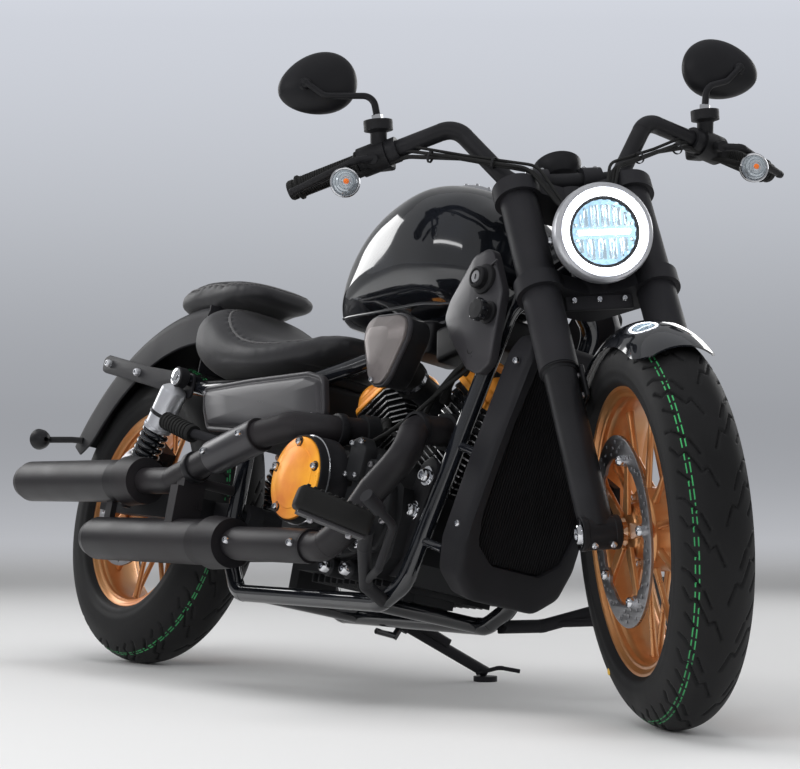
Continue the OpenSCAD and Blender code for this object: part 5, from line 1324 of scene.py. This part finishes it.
# Clutch cover: black ring with a bright edge round an orange disc
CLUTCH = right_side(168, 850, 349)
lathe("clutch_ring", [(60, 0.4), (82.6, 0.4), (82.6, 16), (81.6, 18), (81.4, 36), (80.4, 40), (80, 53), (79, 57), (77.4, 58.4),
                      (76.2, 57), (75.8, 50), (60, 48)], SATIN, "chassis", CLUTCH, n=144, node="clutch_cover")
lathe("clutch_bright_edge", [(81.2, 38.2), (82.4, 39), (82.4, 40.6), (80.4, 41.4)], CHROME, "chassis", CLUTCH, n=144)
lathe("clutch_disc", [(75.4, 46), (75.4, 58.6), (74.6, 60.2), (72.4, 61.6), (60, 62.4), (57.4, 63.0), (56.4, 64.6), (55, 65.4),
                      (20, 66.2), (0, 66.4)], ORANGE, "chassis", CLUTCH, n=144)
ring_spots = [(65.5 * math.cos(a), 65.5 * math.sin(a)) for a in [math.radians(72 * k + 90) for k in range(5)]]
# Dark rings round the bolts stand for the shade in the bolt wells of the orange disc: painted shade
for k, (x, z) in enumerate(ring_spots):
    lathe(f"clutch_well_{k}", [(9.4, 61.4), (9.2, 63.2), (7.4, 63.4), (7.2, 62)], PLASTIC, "chassis",
          CLUTCH @ Matrix.Translation((x, z, 0)), n=32)
bolts("clutch_bolts", [(CLUTCH @ Vector((x, z, 61.8)), (0, -1, 0)) for x, z in ring_spots], 13, "chassis")

# Case covers, bosses and the bolts round them
case_panel = rounded([(792, 244), (934, 218), (1046, 236), (1072, 290), (1060, 350), (1000, 396), (940, 398), (930, 300),
                      (860, 262)], 26, 6)
pillow("case_side_cover", case_panel, [(0, 149), (0, 160), (2, 163), (6, 164.4), (14, 165), (-0.5, 166), (-0.95, 166)], CASE,
       "chassis", right_side(0), smooth=40)
cover_ring = []
for x, z in [case_panel[i] for i in range(3, len(case_panel), 9)]:
    mid_x, mid_z = 968, 310
    cover_ring.append((Vector((x + (mid_x - x) * 0.12, -164.6, z + (mid_z - z) * 0.12)), (0, -1, 0)))
bolts("case_cover_bolts", cover_ring, 12, "chassis", STEEL)
pillow("oil_pump_cover", circle(34, 40), [(0, 0), (0, 12), (2, 14.5), (5, 15.4), (-0.9, 15.4)], CASE, "chassis",
       right_side(164, 1000, 262), smooth=40)
pillow("breather_cover", rounded([(-26, -34), (22, -40), (30, 20), (10, 44), (-20, 38)], 14), [(0, 0), (0, 22), (2, 25),
       (6, 26), (-0.9, 26)], CASE, "chassis", right_side(150, 952, 392), smooth=40)
small_bolts = [(Vector((x, -176.6, z)), (0, -1, 0)) for x, z in ((936, 366), (966, 364), (970, 424), (942, 422))]
small_bolts += [(Vector((x, -180.4, z)), (0, -1, 0)) for x, z in ((982, 282), (1018, 282), (982, 243), (1018, 243))]
bolts("case_small_bolts", small_bolts, 11, "chassis")
mount = rounded([(1046, 196), (1074, 196), (1108, 306), (1136, 388), (1118, 410), (1090, 396), (1052, 300), (1034, 214)], 14)
plate("engine_mount_plates", [mount], 8, SATIN, "chassis", right_side(124), 1.6, both=True)
plate("engine_mount_spacers", [circle(17, 32, (1108, 372))], 36, CASE, "chassis", right_side(104), 1.0, both=True)
big = [(Vector((x, -y, z)), (0, -1, 0)) for x, y, z in ((1112, 128, 372), (1087, 128, 312), (1062, 128, 262))]
bolts("mount_bolts", big, 25, "chassis", CHROME)
for k, (p, _) in enumerate(big):
    lathe(f"mount_washer_{k}", [(17.6, 0), (17.6, 2.2), (16.6, 3), (13, 3.2), (12, 1.6), (0, 1.6)], CHROME, "chassis",
          right_side(128.2, p.x, p.z), n=40)
for k, (x, z) in enumerate(((1007, 244), (911, 202), (976, 199))):
    lathe(f"rail_boss_{k}", [(17, -36), (17, 0), (15.4, 2), (12, 2.6), (0, 2.6)], CASE, "chassis", right_side(164, x, z), n=40)
bolts("rail_boss_bolts", [(Vector((x, -166.4, z)), (0, -1, 0)) for x, z in ((1007, 244), (911, 202), (976, 199))], 24,
      "chassis", CHROME)
sump_fins = [(Matrix.Translation((x, 0, 188)), (5, 240, 16)) for x in range(800, 1040, 20)]
blocks("sump_fins", sump_fins, CASE, "chassis", 1.2)

# Spark leads and their boots
for k, (pts, r) in enumerate((
        ([(1150, -98, 596), (1118, -112, 560), (1072, -112, 520), (1020, -100, 470), (960, -92, 448), (912, -92, 470)], 5.0),
        ([(1150, -92, 604), (1126, -104, 576), (1100, -100, 552), (1076, -92, 530)], 5.0),
        ([(1148, -86, 588), (1100, -120, 528), (1040, -124, 486), (960, -122, 452), (880, -128, 420), (866, -132, 402)], 4.2))):
    tube(f"spark_lead_{k}", pts, r, RUBBER, "chassis", bend=40, sides=14)
for k, (p, d) in enumerate((((1076, -92, 530), (-0.5, 0.3, -0.8)), ((912, -92, 470), (-0.7, 0.3, 0.6)))):
    lathe(f"spark_boot_{k}", [(0, -12), (7, -11), (8.4, -2), (8.4, 9), (10, 11), (10, 20), (6, 22)], RUBBER, "chassis",
          towards(p, d), n=28)

# Radiator shroud, grille and core
COOLER = Matrix.Translation((1186, 0, 176)) @ rot(13.4, "Y")
FRONTAL = COOLER @ Matrix(((0, 0, 1, 0), (1, 0, 0, 0), (0, 1, 0, 0), (0, 0, 0, 1)))
SHROUD = [(-70, 0), (70, 0), (112, 34), (126, 90), (120, 250), (108, 420), (92, 456), (-92, 456), (-108, 420), (-120, 250),
          (-126, 90), (-112, 34)]
MOUTH = [(-52, 66), (52, 66), (92, 96), (103, 150), (96, 300), (84, 408), (70, 424), (-70, 424), (-84, 408), (-96, 300),
         (-103, 150), (-92, 96)]


def resampled(loop, count):
    """The same closed outline with its points evenly spaced."""
    pts = [Vector(p) for p in loop]
    run = [0.0]
    for p, q in zip(pts, pts[1:] + pts[:1]):
        run.append(run[-1] + (q - p).length)
    out, i = [], 0
    for k in range(count):
        d = run[-1] * k / count
        while run[i + 1] < d:
            i += 1
        p = pts[i].lerp(pts[(i + 1) % len(pts)], (d - run[i]) / max(1e-9, run[i + 1] - run[i]))
        out.append((p.x, p.y))
    return out


outer, mouth = resampled(rounded(SHROUD, 34, 7), 168), resampled(rounded(MOUTH, 24, 7), 168)


def inward(loop, d):
    out = []
    n = len(loop)
    for i in range(n):
        t = (Vector(loop[(i + 1) % n]) - Vector(loop[i - 1])).normalized()
        out.append((loop[i][0] - t.y * d, loop[i][1] + t.x * d))
    return out


def mouth_at(k, m):
    return [(p[0] * k, 240 + (p[1] - 240) * m) for p in mouth]


rings = [(inward(outer, 3), -30), (inward(outer, 0.4), -28)] + [(outer, -24 + 6 * k) for k in range(8)]
rings += [(inward(outer, 0.8), 22), (inward(outer, 3), 26), (inward(outer, 7), 29.4)]
for part in (0.33, 0.66):
    rings.append(([(a[0] + (b[0] - a[0]) * part, a[1] + (b[1] - a[1]) * part) for a, b in zip(outer, mouth)], 31.4))
rings += [(inward(mouth, -3), 31.8), (inward(mouth, -0.8), 31.2), (mouth, 29.6), (mouth, 13), (mouth_at(0.93, 0.965), 11),
          (mouth_at(0.93, 0.965), -30)]
verts, faces = skin([[FRONTAL @ Vector((p[0], p[1], w)) for p in loop] for loop, w in rings], ends=False)
n, last = len(outer), len(rings) - 1
faces += [(last * n + i, last * n + (i + 1) % n, (i + 1) % n, i) for i in range(n)]

# Hollows where the fork covers pass at full lock, as in the solids
FULL_LOCK = Matrix.Translation(STEER_FOOT) @ rot(-36, STEER_DIR) @ Matrix.Translation(-STEER_FOOT)
cover_low, cover_top = FULL_LOCK @ on_leg(500, -100), FULL_LOCK @ on_leg(780, -100)
cover_way = (cover_top - cover_low).normalized()
for i, v in enumerate(verts):
    right = Vector((v.x, -abs(v.y), v.z))
    foot = cover_low + cover_way * (right - cover_low).dot(cover_way)
    off = right - foot
    if off.length < 40.0:
        off = off.normalized() * 40.0
        p = foot + off
        verts[i] = Vector((p.x, math.copysign(p.y, v.y), p.z))
mesh_piece("radiator_shroud_shell", verts, faces, MATT, "chassis", smooth=40, node="radiator_shroud")
bars = []
for k in range(-19, 20):
    u = k * 5.1
    low = 68 + max(0.0, abs(u) - 50) ** 1.25 * 0.24
    high = 422 - max(0.0, abs(u) - 70) * 1.2
    if abs(u) > 84:
        high = 408 - (abs(u) - 84) * 13.5
    if high - low > 30:
        bars.append((FRONTAL @ Matrix.Translation((u, (low + high) / 2, 20)), (1.7, high - low, 9)))
blocks("grille_bars", bars, PLASTIC, "chassis", 0.5)
core = [(FRONTAL @ Matrix.Translation((0, 100 + k * 9, 14)), (168, 1.6, 2)) for k in range(34)]
blocks("core_tubes", core, CASE, "chassis", 0.3)
side_spots = [(COOLER @ Vector((6, -110.5, 408)), (0, -1, 0.05)), (COOLER @ Vector((4, -123.6, 120)), (0, -1, 0))]
bolts("shroud_bolts", side_spots, 13, "chassis", CHROME, both=True)
pillow("side_reflector", rounded([(-7, -46), (7, -46), (7, 46), (-7, 46)], 6), [(0, 0), (0, 4), (1, 6), (-0.9, 6.6)], AMBER,
       "chassis", COOLER @ Matrix.Translation((33, 108, 210)) @ rot(90, "Y") @ rot(90, "Z"), smooth=40)

# Coil cover and wiring under the tank
box_piece("coil_cover", Matrix.Translation((1040, 0, 642)) @ rot(-14, "Y"), (132, 128, 66), PLASTIC, "chassis", 10)
box_piece("wiring_box", Matrix.Translation((905, 0, 646)), (96, 120, 60), PLASTIC, "chassis", 8)
for k, (pts, r) in enumerate((([(1196, -70, 660), (1150, -84, 640), (1100, -78, 610), (1080, -60, 560)], 8.0),
                              ([(1186, -60, 700), (1140, -76, 668), (1094, -70, 650), (1060, -60, 640)], 6.0),
                              ([(1160, -40, 560), (1120, -66, 580), (1092, -60, 620), (1060, -50, 640)], 9.0))):
    tube(f"wiring_{k}", pts, r, RUBBER, "chassis", bend=40, sides=14)


# Side covers and neck covers

SIDE_PLAN = [(318, 556), (334, 506), (362, 464), (560, 452), (776, 470), (780, 492), (756, 560), (700, 572), (500, 566)]
pillow("side_cover_panels", rounded(SIDE_PLAN, 26, 7), [(0, 134.3), (0, 144), (1.2, 146.4), (4, 147.4), (7, 147.2), (8.4, 145.8),
       (10, 145.8), (11.6, 147.6), (15, 151.6), (20, 153.4), (-0.4, 154.4), (-0.95, 154.6)], GREY, "chassis", right_side(0),
       node="side_covers", both=True, smooth=50)
bolts("side_cover_bolts", [((340, -147.6, 540), (0, -1, 0)), ((748, -147.6, 484), (0, -1, 0))], 12, "chassis", STEEL, both=True)
NECK_PLAN = [(1196, 772), (1150, 760), (1100, 682), (1092, 650), (1120, 612), (1180, 556), (1216, 544), (1244, 566), (1246, 690)]
pillow("neck_cover_panels", rounded(NECK_PLAN, 26, 7), [(0, 120), (0, 134), (1.2, 136.4), (4, 137.4), (-0.06, 138.4),
       (-0.3, 141.0), (-0.6, 143.4), (-0.8, 143.8), (-0.97, 143.8)], GREY, "chassis", right_side(0), node="neck_covers",
       both=True, smooth=50)
crease = [(1222, -139.4, 746), (1192, -140.4, 726), (1158, -141.0, 690), (1146, -141.4, 656), (1160, -141.0, 620),
          (1196, -139.6, 576)]
tube("neck_creases", crease, 1.8, GREY, "chassis", bend=60, sides=10, both=True)
LOCK = right_side(140, 1196, 712)
lathe("lock_collars", [(27, -2), (27, 3), (25.6, 5.6), (21, 7), (19.4, 8), (19.4, 18), (18, 20.4), (14.6, 21.4), (13.6, 19.4),
                       (0, 19.4)], PLASTIC, "chassis", LOCK, n=72, both=True)
lathe("lock_barrels", [(11, 19.2), (10.4, 20.8), (0, 21)], STEEL, "chassis", LOCK, n=40, both=True)
# A thin dark block on the barrel face stands for the shaded inside of the key slot: painted shade
box_piece("lock_key_slot", LOCK @ Matrix.Translation((0, 0, 21.2)), (2.2, 9, 0.8), RUBBER, "chassis", 0.3)
KNOB = right_side(140, 1222, 652)
knob = [(r, z) for r, z in ((20, -1), (20, 3), (15, 4.4), (15, 14), (17, 14.4), (18.4, 16), (18.4, 27), (17, 29), (0, 29.6))]
lathe("idle_knobs", knob, PLASTIC, "chassis", KNOB, n=60, both=True)
for s in (1, -1):
    grips = [((KNOB if s > 0 else flip(KNOB)) @ Matrix.Translation((18.2 * math.cos(a), 18.2 * math.sin(a), 21.6))
              @ rot(math.degrees(a), "Z"), (4, 6.4, 11)) for a in [2 * math.pi * k / 8 for k in range(8)]]
    blocks(f"idle_knob_grips_{'right' if s > 0 else 'left'}", grips, GLOSS, "chassis", 1.6)
# Dark rubber dishes stand for the shaded insides of the holes in the neck covers: painted shade
lathe("neck_holes", [(9, 0.2), (9.4, 1.6), (7.6, 2.0), (6.8, 0.4), (0, 0)], RUBBER, "chassis", right_side(139.6, 1190, 590), n=40,
      both=True)

# Battery box and tray under the seat
box_piece("battery_box", Matrix.Translation((520, 0, 508)), (300, 212, 116), PLASTIC, "chassis", 16)
box_piece("seat_tray", Matrix.Translation((430, 0, 574)), (470, 196, 20), PLASTIC, "chassis", 8)
box_piece("rear_tray", Matrix.Translation((276, 0, 560)), (110, 150, 60), PLASTIC, "chassis", 12)

# Exhaust: heat shields with their bolts, and pipe clamps
SHIELDS = (([Vector((700, -224, 432)), Vector((560, -232, 388))], 33.0), ([Vector((950, -232, 226)), Vector((700, -232, 226))], 31.0))
for k, (line, r) in enumerate(SHIELDS):
    a, b = line
    way = (b - a).normalized()
    at = towards(a, way)
    length = (b - a).length
    profile = [(27, 0), (r - 3, 0.6), (r - 0.6, 3), (r, 8), (r, length - 8), (r - 0.6, length - 3), (r - 3, length - 0.6), (27, length)]
    lathe(f"heat_shield_{k}", profile, GREY if k == 0 else HEATPROOF, "chassis", at, n=64)
    spots = [(a + way * d + Vector((0, -r + 0.4, 0)), (0, -1, 0)) for d in (18, length - 18)]
    bolts(f"heat_shield_bolts_{k}", spots, 14, "chassis", CHROME)
for k, (p, r) in enumerate((((1100, -158, 448), 29), ((832, -140, 456), 29), ((500, -232, 369.5), 29), ((650, -232, 226), 29))):
    way = ((8, -72, -12), (-8, -64, -8), (-140, 0, -44), (-1, 0, 0))[k]
    lathe(f"pipe_clamp_{k}", [(r - 3, -8), (r + 1.4, -7.6), (r + 2, -6), (r + 2, 6), (r + 1.4, 7.6), (r - 3, 8)], SATIN,
          "chassis", towards(p, way), n=56)

# Rear shocks: one wound spring each side over the damper body
TOP, FOOT_S = Vector((246, 162, 574)), Vector((118, 162, 330))
axis = (TOP - FOOT_S).normalized()
length = (TOP - FOOT_S).length
damper = towards(FOOT_S, axis)
spring = []
turns, first, last = 7.2, 46.0, length - 124.0
for i in range(int(turns * 22) + 1):
    t = i / (turns * 22)
    a = 2 * math.pi * turns * t
    spring.append(damper @ Vector((23.5 * math.cos(a), 23.5 * math.sin(a), first + (last - first) * t)))
verts, faces = sweep(spring, 6.0, 12)
n = len(verts)
verts += [Vector((v.x, -v.y, v.z)) for v in verts[:n]]
faces += [tuple(n + i for i in reversed(f)) for f in faces[:]]
mesh_piece("shock_springs", verts, faces, GLOSS, "chassis", node="rear_shocks", smooth=60)
lathe("shock_bodies", [(8, 16), (17, 17), (19, 22), (19, 34), (29, 36), (29.6, 38), (29.6, 42), (28, 43), (13, 43), (13, length - 122)],
      SATIN, "chassis", damper, n=64, both=True)
lathe("shock_cans", [(13, length - 121), (29, length - 120.5), (30, length - 118), (30, length - 112), (27.6, length - 110),
                     (27.6, length - 34), (26, length - 29), (20, length - 24), (14, length - 20), (10, length - 14)], SILVER,
      "chassis", damper, n=72, both=True)
lathe("shock_collars", [(27.6, length - 88), (29.4, length - 87), (29.4, length - 81), (27.6, length - 80)], SATIN, "chassis",
      damper, n=72, both=True)
for tag, p, bore in (("top", TOP, 12.4), ("low", FOOT_S, 13.4)):
    eye = Matrix.Translation((p.x, -p.y, p.z)) @ rot(90, "X")
    lathe(f"shock_eyes_{tag}", [(bore, -11), (19, -11), (21, -9), (21, 9), (19, 11), (bore, 11), (bore, -11)], SATIN,
          "chassis", eye, n=56, both=True)
    lathe(f"shock_washers_{tag}", [(0, 16.6), (9, 16.4), (11.6, 15), (12, 12.4), (17, 12), (17.6, 11.2), (bore, 11)], CHROME,
          "chassis", eye, n=48, both=True)

# Foot pegs: rubber blocks on the forward controls, with a plate under each
PEG_A, PEG_B = Vector((1217, 300, 249)), Vector((1166, 408, 273))
peg_way = (PEG_B - PEG_A).normalized()
for s, tag in ((1, "left"), (-1, "right")):
    way = Vector((peg_way.x, s * peg_way.y, peg_way.z))
    mid = (PEG_A + PEG_B) / 2
    mid = Vector((mid.x, s * mid.y, mid.z))
    side = Vector((0, 0, 1)).cross(way).normalized()
    up = way.cross(side)
    at = Matrix(((way.x, side.x, up.x, mid.x), (way.y, side.y, up.y, mid.y), (way.z, side.z, up.z, mid.z), (0, 0, 0, 1)))
    box_piece(f"peg_rubber_{tag}", at @ Matrix.Translation((4, 0, 3)), (132, 52, 42), RUBBER, "chassis", 12)
    blocks(f"peg_ribs_{tag}", [(at @ Matrix.Translation((x, 0, 24.4)), (6, 44, 3)) for x in range(-50, 62, 12)], RUBBER,
           "chassis", 1.0)
    box_piece(f"peg_plate_{tag}", at @ Matrix.Translation((2, 0, -20.5)), (116, 38, 6), GREY, "chassis", 2)
    bolts(f"peg_plate_bolts_{tag}", [(at @ Vector((x, 0, -23.4)), -up) for x in (-34, 34)], 11, "chassis", STEEL)
    pegs_at = towards(Vector((400, s * 197, 446)), Vector((-84, s * 15, 24)))
    rib_rows = [(10, -6), (17, -5), (18, -2)]
    for k in range(9):
        z = k * 9.6
        rib_rows += [(18.2, z), (18.2, z + 5), (16, z + 6), (16, z + 8.4)]
    rib_rows += [(18.2, 86.6), (18, 90), (15, 93), (0, 94)]
    lathe(f"passenger_peg_{tag}", rib_rows, RUBBER, "chassis", pegs_at, n=48)

# Side stand: its pivot point
PIVOT = Vector((700, 166, 148))


# Solids that keep their own shape

for finish_of, names in (
        (GLOSS, "frame rear_shocks"), (MATT, "swingarm yokes fork_covers foot_controls pillion_pegs side_stand"),
        (CASE, "engine_case cylinder_barrels front_caliper rear_caliper clutch_cover"), (GOLD, "rocker_covers"),
        (HEATPROOF, "header_pipes silencers"), (PLASTIC, "radiator_core bar_controls front_indicators rear_indicators"),
        (SATIN, "radiator_shroud handlebar mirrors headlamp_shell gauge rear_pulley rear_fender front_fender"),
        (GREY, "neck_covers side_covers"), (GLOSS, "fuel_tank"), (CHROME, "fuel_cap"), (TITAN, "air_cleaner"),
        (LEATHER, "rider_seat pillion_seat"), (RED, "tail_lamp"), (COPPER, "front_rim rear_rim"),
        (TYRE, "front_tyre rear_tyre"), (STEEL, "front_disc rear_disc"), (SATIN, "fork_legs"),
        (CLEAR, "headlamp_lens"), (RUBBER, "grips drive_belt control_cables")):
    for name in names.split():
        dress(name, finish_of)


# Floor, backdrop, light and camera

def stage_sheet():
    """Pale floor that sweeps up behind the machine in one smooth curve."""
    me = bpy.data.meshes.new("studio_sweep")
    bm = bmesh.new()
    back = Vector((-0.8137, 0.5793, 0)).normalized()
    side = Vector((-back.y, back.x, 0))
    rows = [(-7.0, 0.0)] + [(4.2 + 2.6 * math.sin(a), 2.6 - 2.6 * math.cos(a))
                            for a in [math.radians(6 * k) for k in range(16)]] + [(6.8, 9.0)]
    verts = []
    for d, z in rows:
        verts.append([bm.verts.new(back * d + side * s + Vector((0, 0, z))) for s in (-9.0, 9.0)])
    for a, b in zip(verts, verts[1:]):
        bm.faces.new((a[0], b[0], b[1], a[1]))
    bm.normal_update()
    bm.to_mesh(me)
    bm.free()
    me.shade_smooth()
    ob = bpy.data.objects.new("studio_sweep", me)
    bpy.context.scene.collection.objects.link(ob)
    mat = bpy.data.materials.new("studio_paper")
    mat.use_nodes = True
    n, link = mat.node_tree.nodes, mat.node_tree.links.new
    bsdf, out = n["Principled BSDF"], n["Material Output"]
    noise, tone = n.new("ShaderNodeTexNoise"), n.new("ShaderNodeMapRange")
    noise.inputs["Scale"].default_value = 1.3
    tone.inputs["To Min"].default_value = PAPER[0]
    tone.inputs["To Max"].default_value = PAPER[1]
    link(noise.outputs["Fac"], tone.inputs["Value"])
    link(tone.outputs["Result"], bsdf.inputs["Base Color"])
    bsdf.inputs["Roughness"].default_value = 0.85
    bsdf.inputs["Specular IOR Level"].default_value = 0.1
    # What the camera sees of the wall is a fixed fade of greys by height, painted light and shade (pale at the foot and
    # top, a darker band in between), which lights nothing
    place, split = n.new("ShaderNodeTexCoord"), n.new("ShaderNodeSeparateXYZ")
    height, ramp = n.new("ShaderNodeMapRange"), n.new("ShaderNodeValToRGB")
    height.inputs["From Max"].default_value = 3.0
    link(place.outputs["Object"], split.inputs["Vector"])
    link(split.outputs["Z"], height.inputs["Value"])
    link(height.outputs["Result"], ramp.inputs["Fac"])
    ramp.color_ramp.interpolation = "B_SPLINE"
    while len(ramp.color_ramp.elements) < len(WALL_LIGHT_AND_SHADE):
        ramp.color_ramp.elements.new(0.5)
    for element, (at, grey) in zip(ramp.color_ramp.elements, WALL_LIGHT_AND_SHADE):
        element.position = at / 3.0
        element.color = (*grey, 1.0)
    wall, ray, low = n.new("ShaderNodeEmission"), n.new("ShaderNodeLightPath"), n.new("ShaderNodeMapRange")
    low.interpolation_type = "SMOOTHSTEP"
    low.inputs["From Max"].default_value = 0.16
    seen, mix = n.new("ShaderNodeMath"), n.new("ShaderNodeMixShader")
    seen.operation = "MULTIPLY"
    link(ramp.outputs["Color"], wall.inputs["Color"])
    link(split.outputs["Z"], low.inputs["Value"])
    link(low.outputs["Result"], seen.inputs[0])
    link(ray.outputs["Is Camera Ray"], seen.inputs[1])
    link(seen.outputs["Value"], mix.inputs["Fac"])
    link(bsdf.outputs["BSDF"], mix.inputs[1])
    link(wall.outputs["Emission"], mix.inputs[2])
    link(mix.outputs["Shader"], out.inputs["Surface"])
    me.materials.append(mat)


PAPER = (0.66, 0.70)
# Greys of the wall by height in metres: painted light and shade of the studio, pale at the foot and top, darker band in
# between
WALL_LIGHT_AND_SHADE = ((0.0, (0.62, 0.63, 0.66)), (0.10, (0.50, 0.51, 0.54)), (0.40, (0.345, 0.355, 0.38)), (0.80, (0.31, 0.32, 0.345)),
             (1.7, (0.50, 0.52, 0.56)), (2.7, (0.645, 0.67, 0.735)), (3.0, (0.66, 0.69, 0.75)))


stage_sheet()


def softbox(name, spot, aim, size, power, mirrored=True):
    lamp = bpy.data.lights.new(name, "AREA")
    lamp.shape = "RECTANGLE"
    lamp.size, lamp.size_y = size
    lamp.energy = power
    ob = bpy.data.objects.new(name, lamp)
    ob.location = spot
    ob.visible_glossy = mirrored
    ob.rotation_euler = (Vector(aim) - Vector(spot)).to_track_quat("-Z", "Y").to_euler()
    bpy.context.scene.collection.objects.link(ob)


softbox("overhead", (0.2, -0.6, 3.4), (0.0, 0.0, 0.5), (3.6, 2.2), 78, False)
softbox("right_strip", (0.6, -3.4, 1.5), (-0.1, 0.0, 0.6), (3.4, 1.3), 58, False)
softbox("front_strip", (3.6, 0.5, 1.6), (0.5, 0.0, 0.6), (1.2, 2.0), 26, False)
softbox("left_rim", (-0.8, 3.2, 1.9), (0.0, 0.0, 0.6), (3.2, 1.2), 28)
softbox("right_streak", (0.4, -3.3, 2.3), (0.0, 0.0, 0.55), (3.4, 0.14), 9)
softbox("tail_rim", (-3.4, -0.8, 1.8), (-0.4, 0.0, 0.6), (1.4, 1.6), 24)

world = bpy.data.worlds.new("studio")
bpy.context.scene.world = world
world.use_nodes = True
world.node_tree.nodes["Background"].inputs["Color"].default_value = (0.80, 0.81, 0.83, 1)
world.node_tree.nodes["Background"].inputs["Strength"].default_value = 0.42

camera = bpy.data.objects.new("camera", bpy.data.cameras.new("camera"))
camera.data.lens = 100.02
camera.data.sensor_width = 36.0
camera.data.clip_end = 60.0
camera.location = (3.4259, -2.4659, 0.3784)
camera.rotation_euler = (Vector((-0.8137, 0.5793, 0.0454)).to_track_quat("-Z", "Y").to_matrix()
                         @ Matrix.Rotation(math.radians(0.1), 3, "Z")).to_euler()
bpy.context.scene.collection.objects.link(camera)
bpy.context.scene.camera = camera
bpy.context.scene.view_settings.view_transform = "Standard"

if HEAD.name in bpy.data.objects:
    bpy.data.objects.remove(HEAD)

bpy.context.view_layer.update()
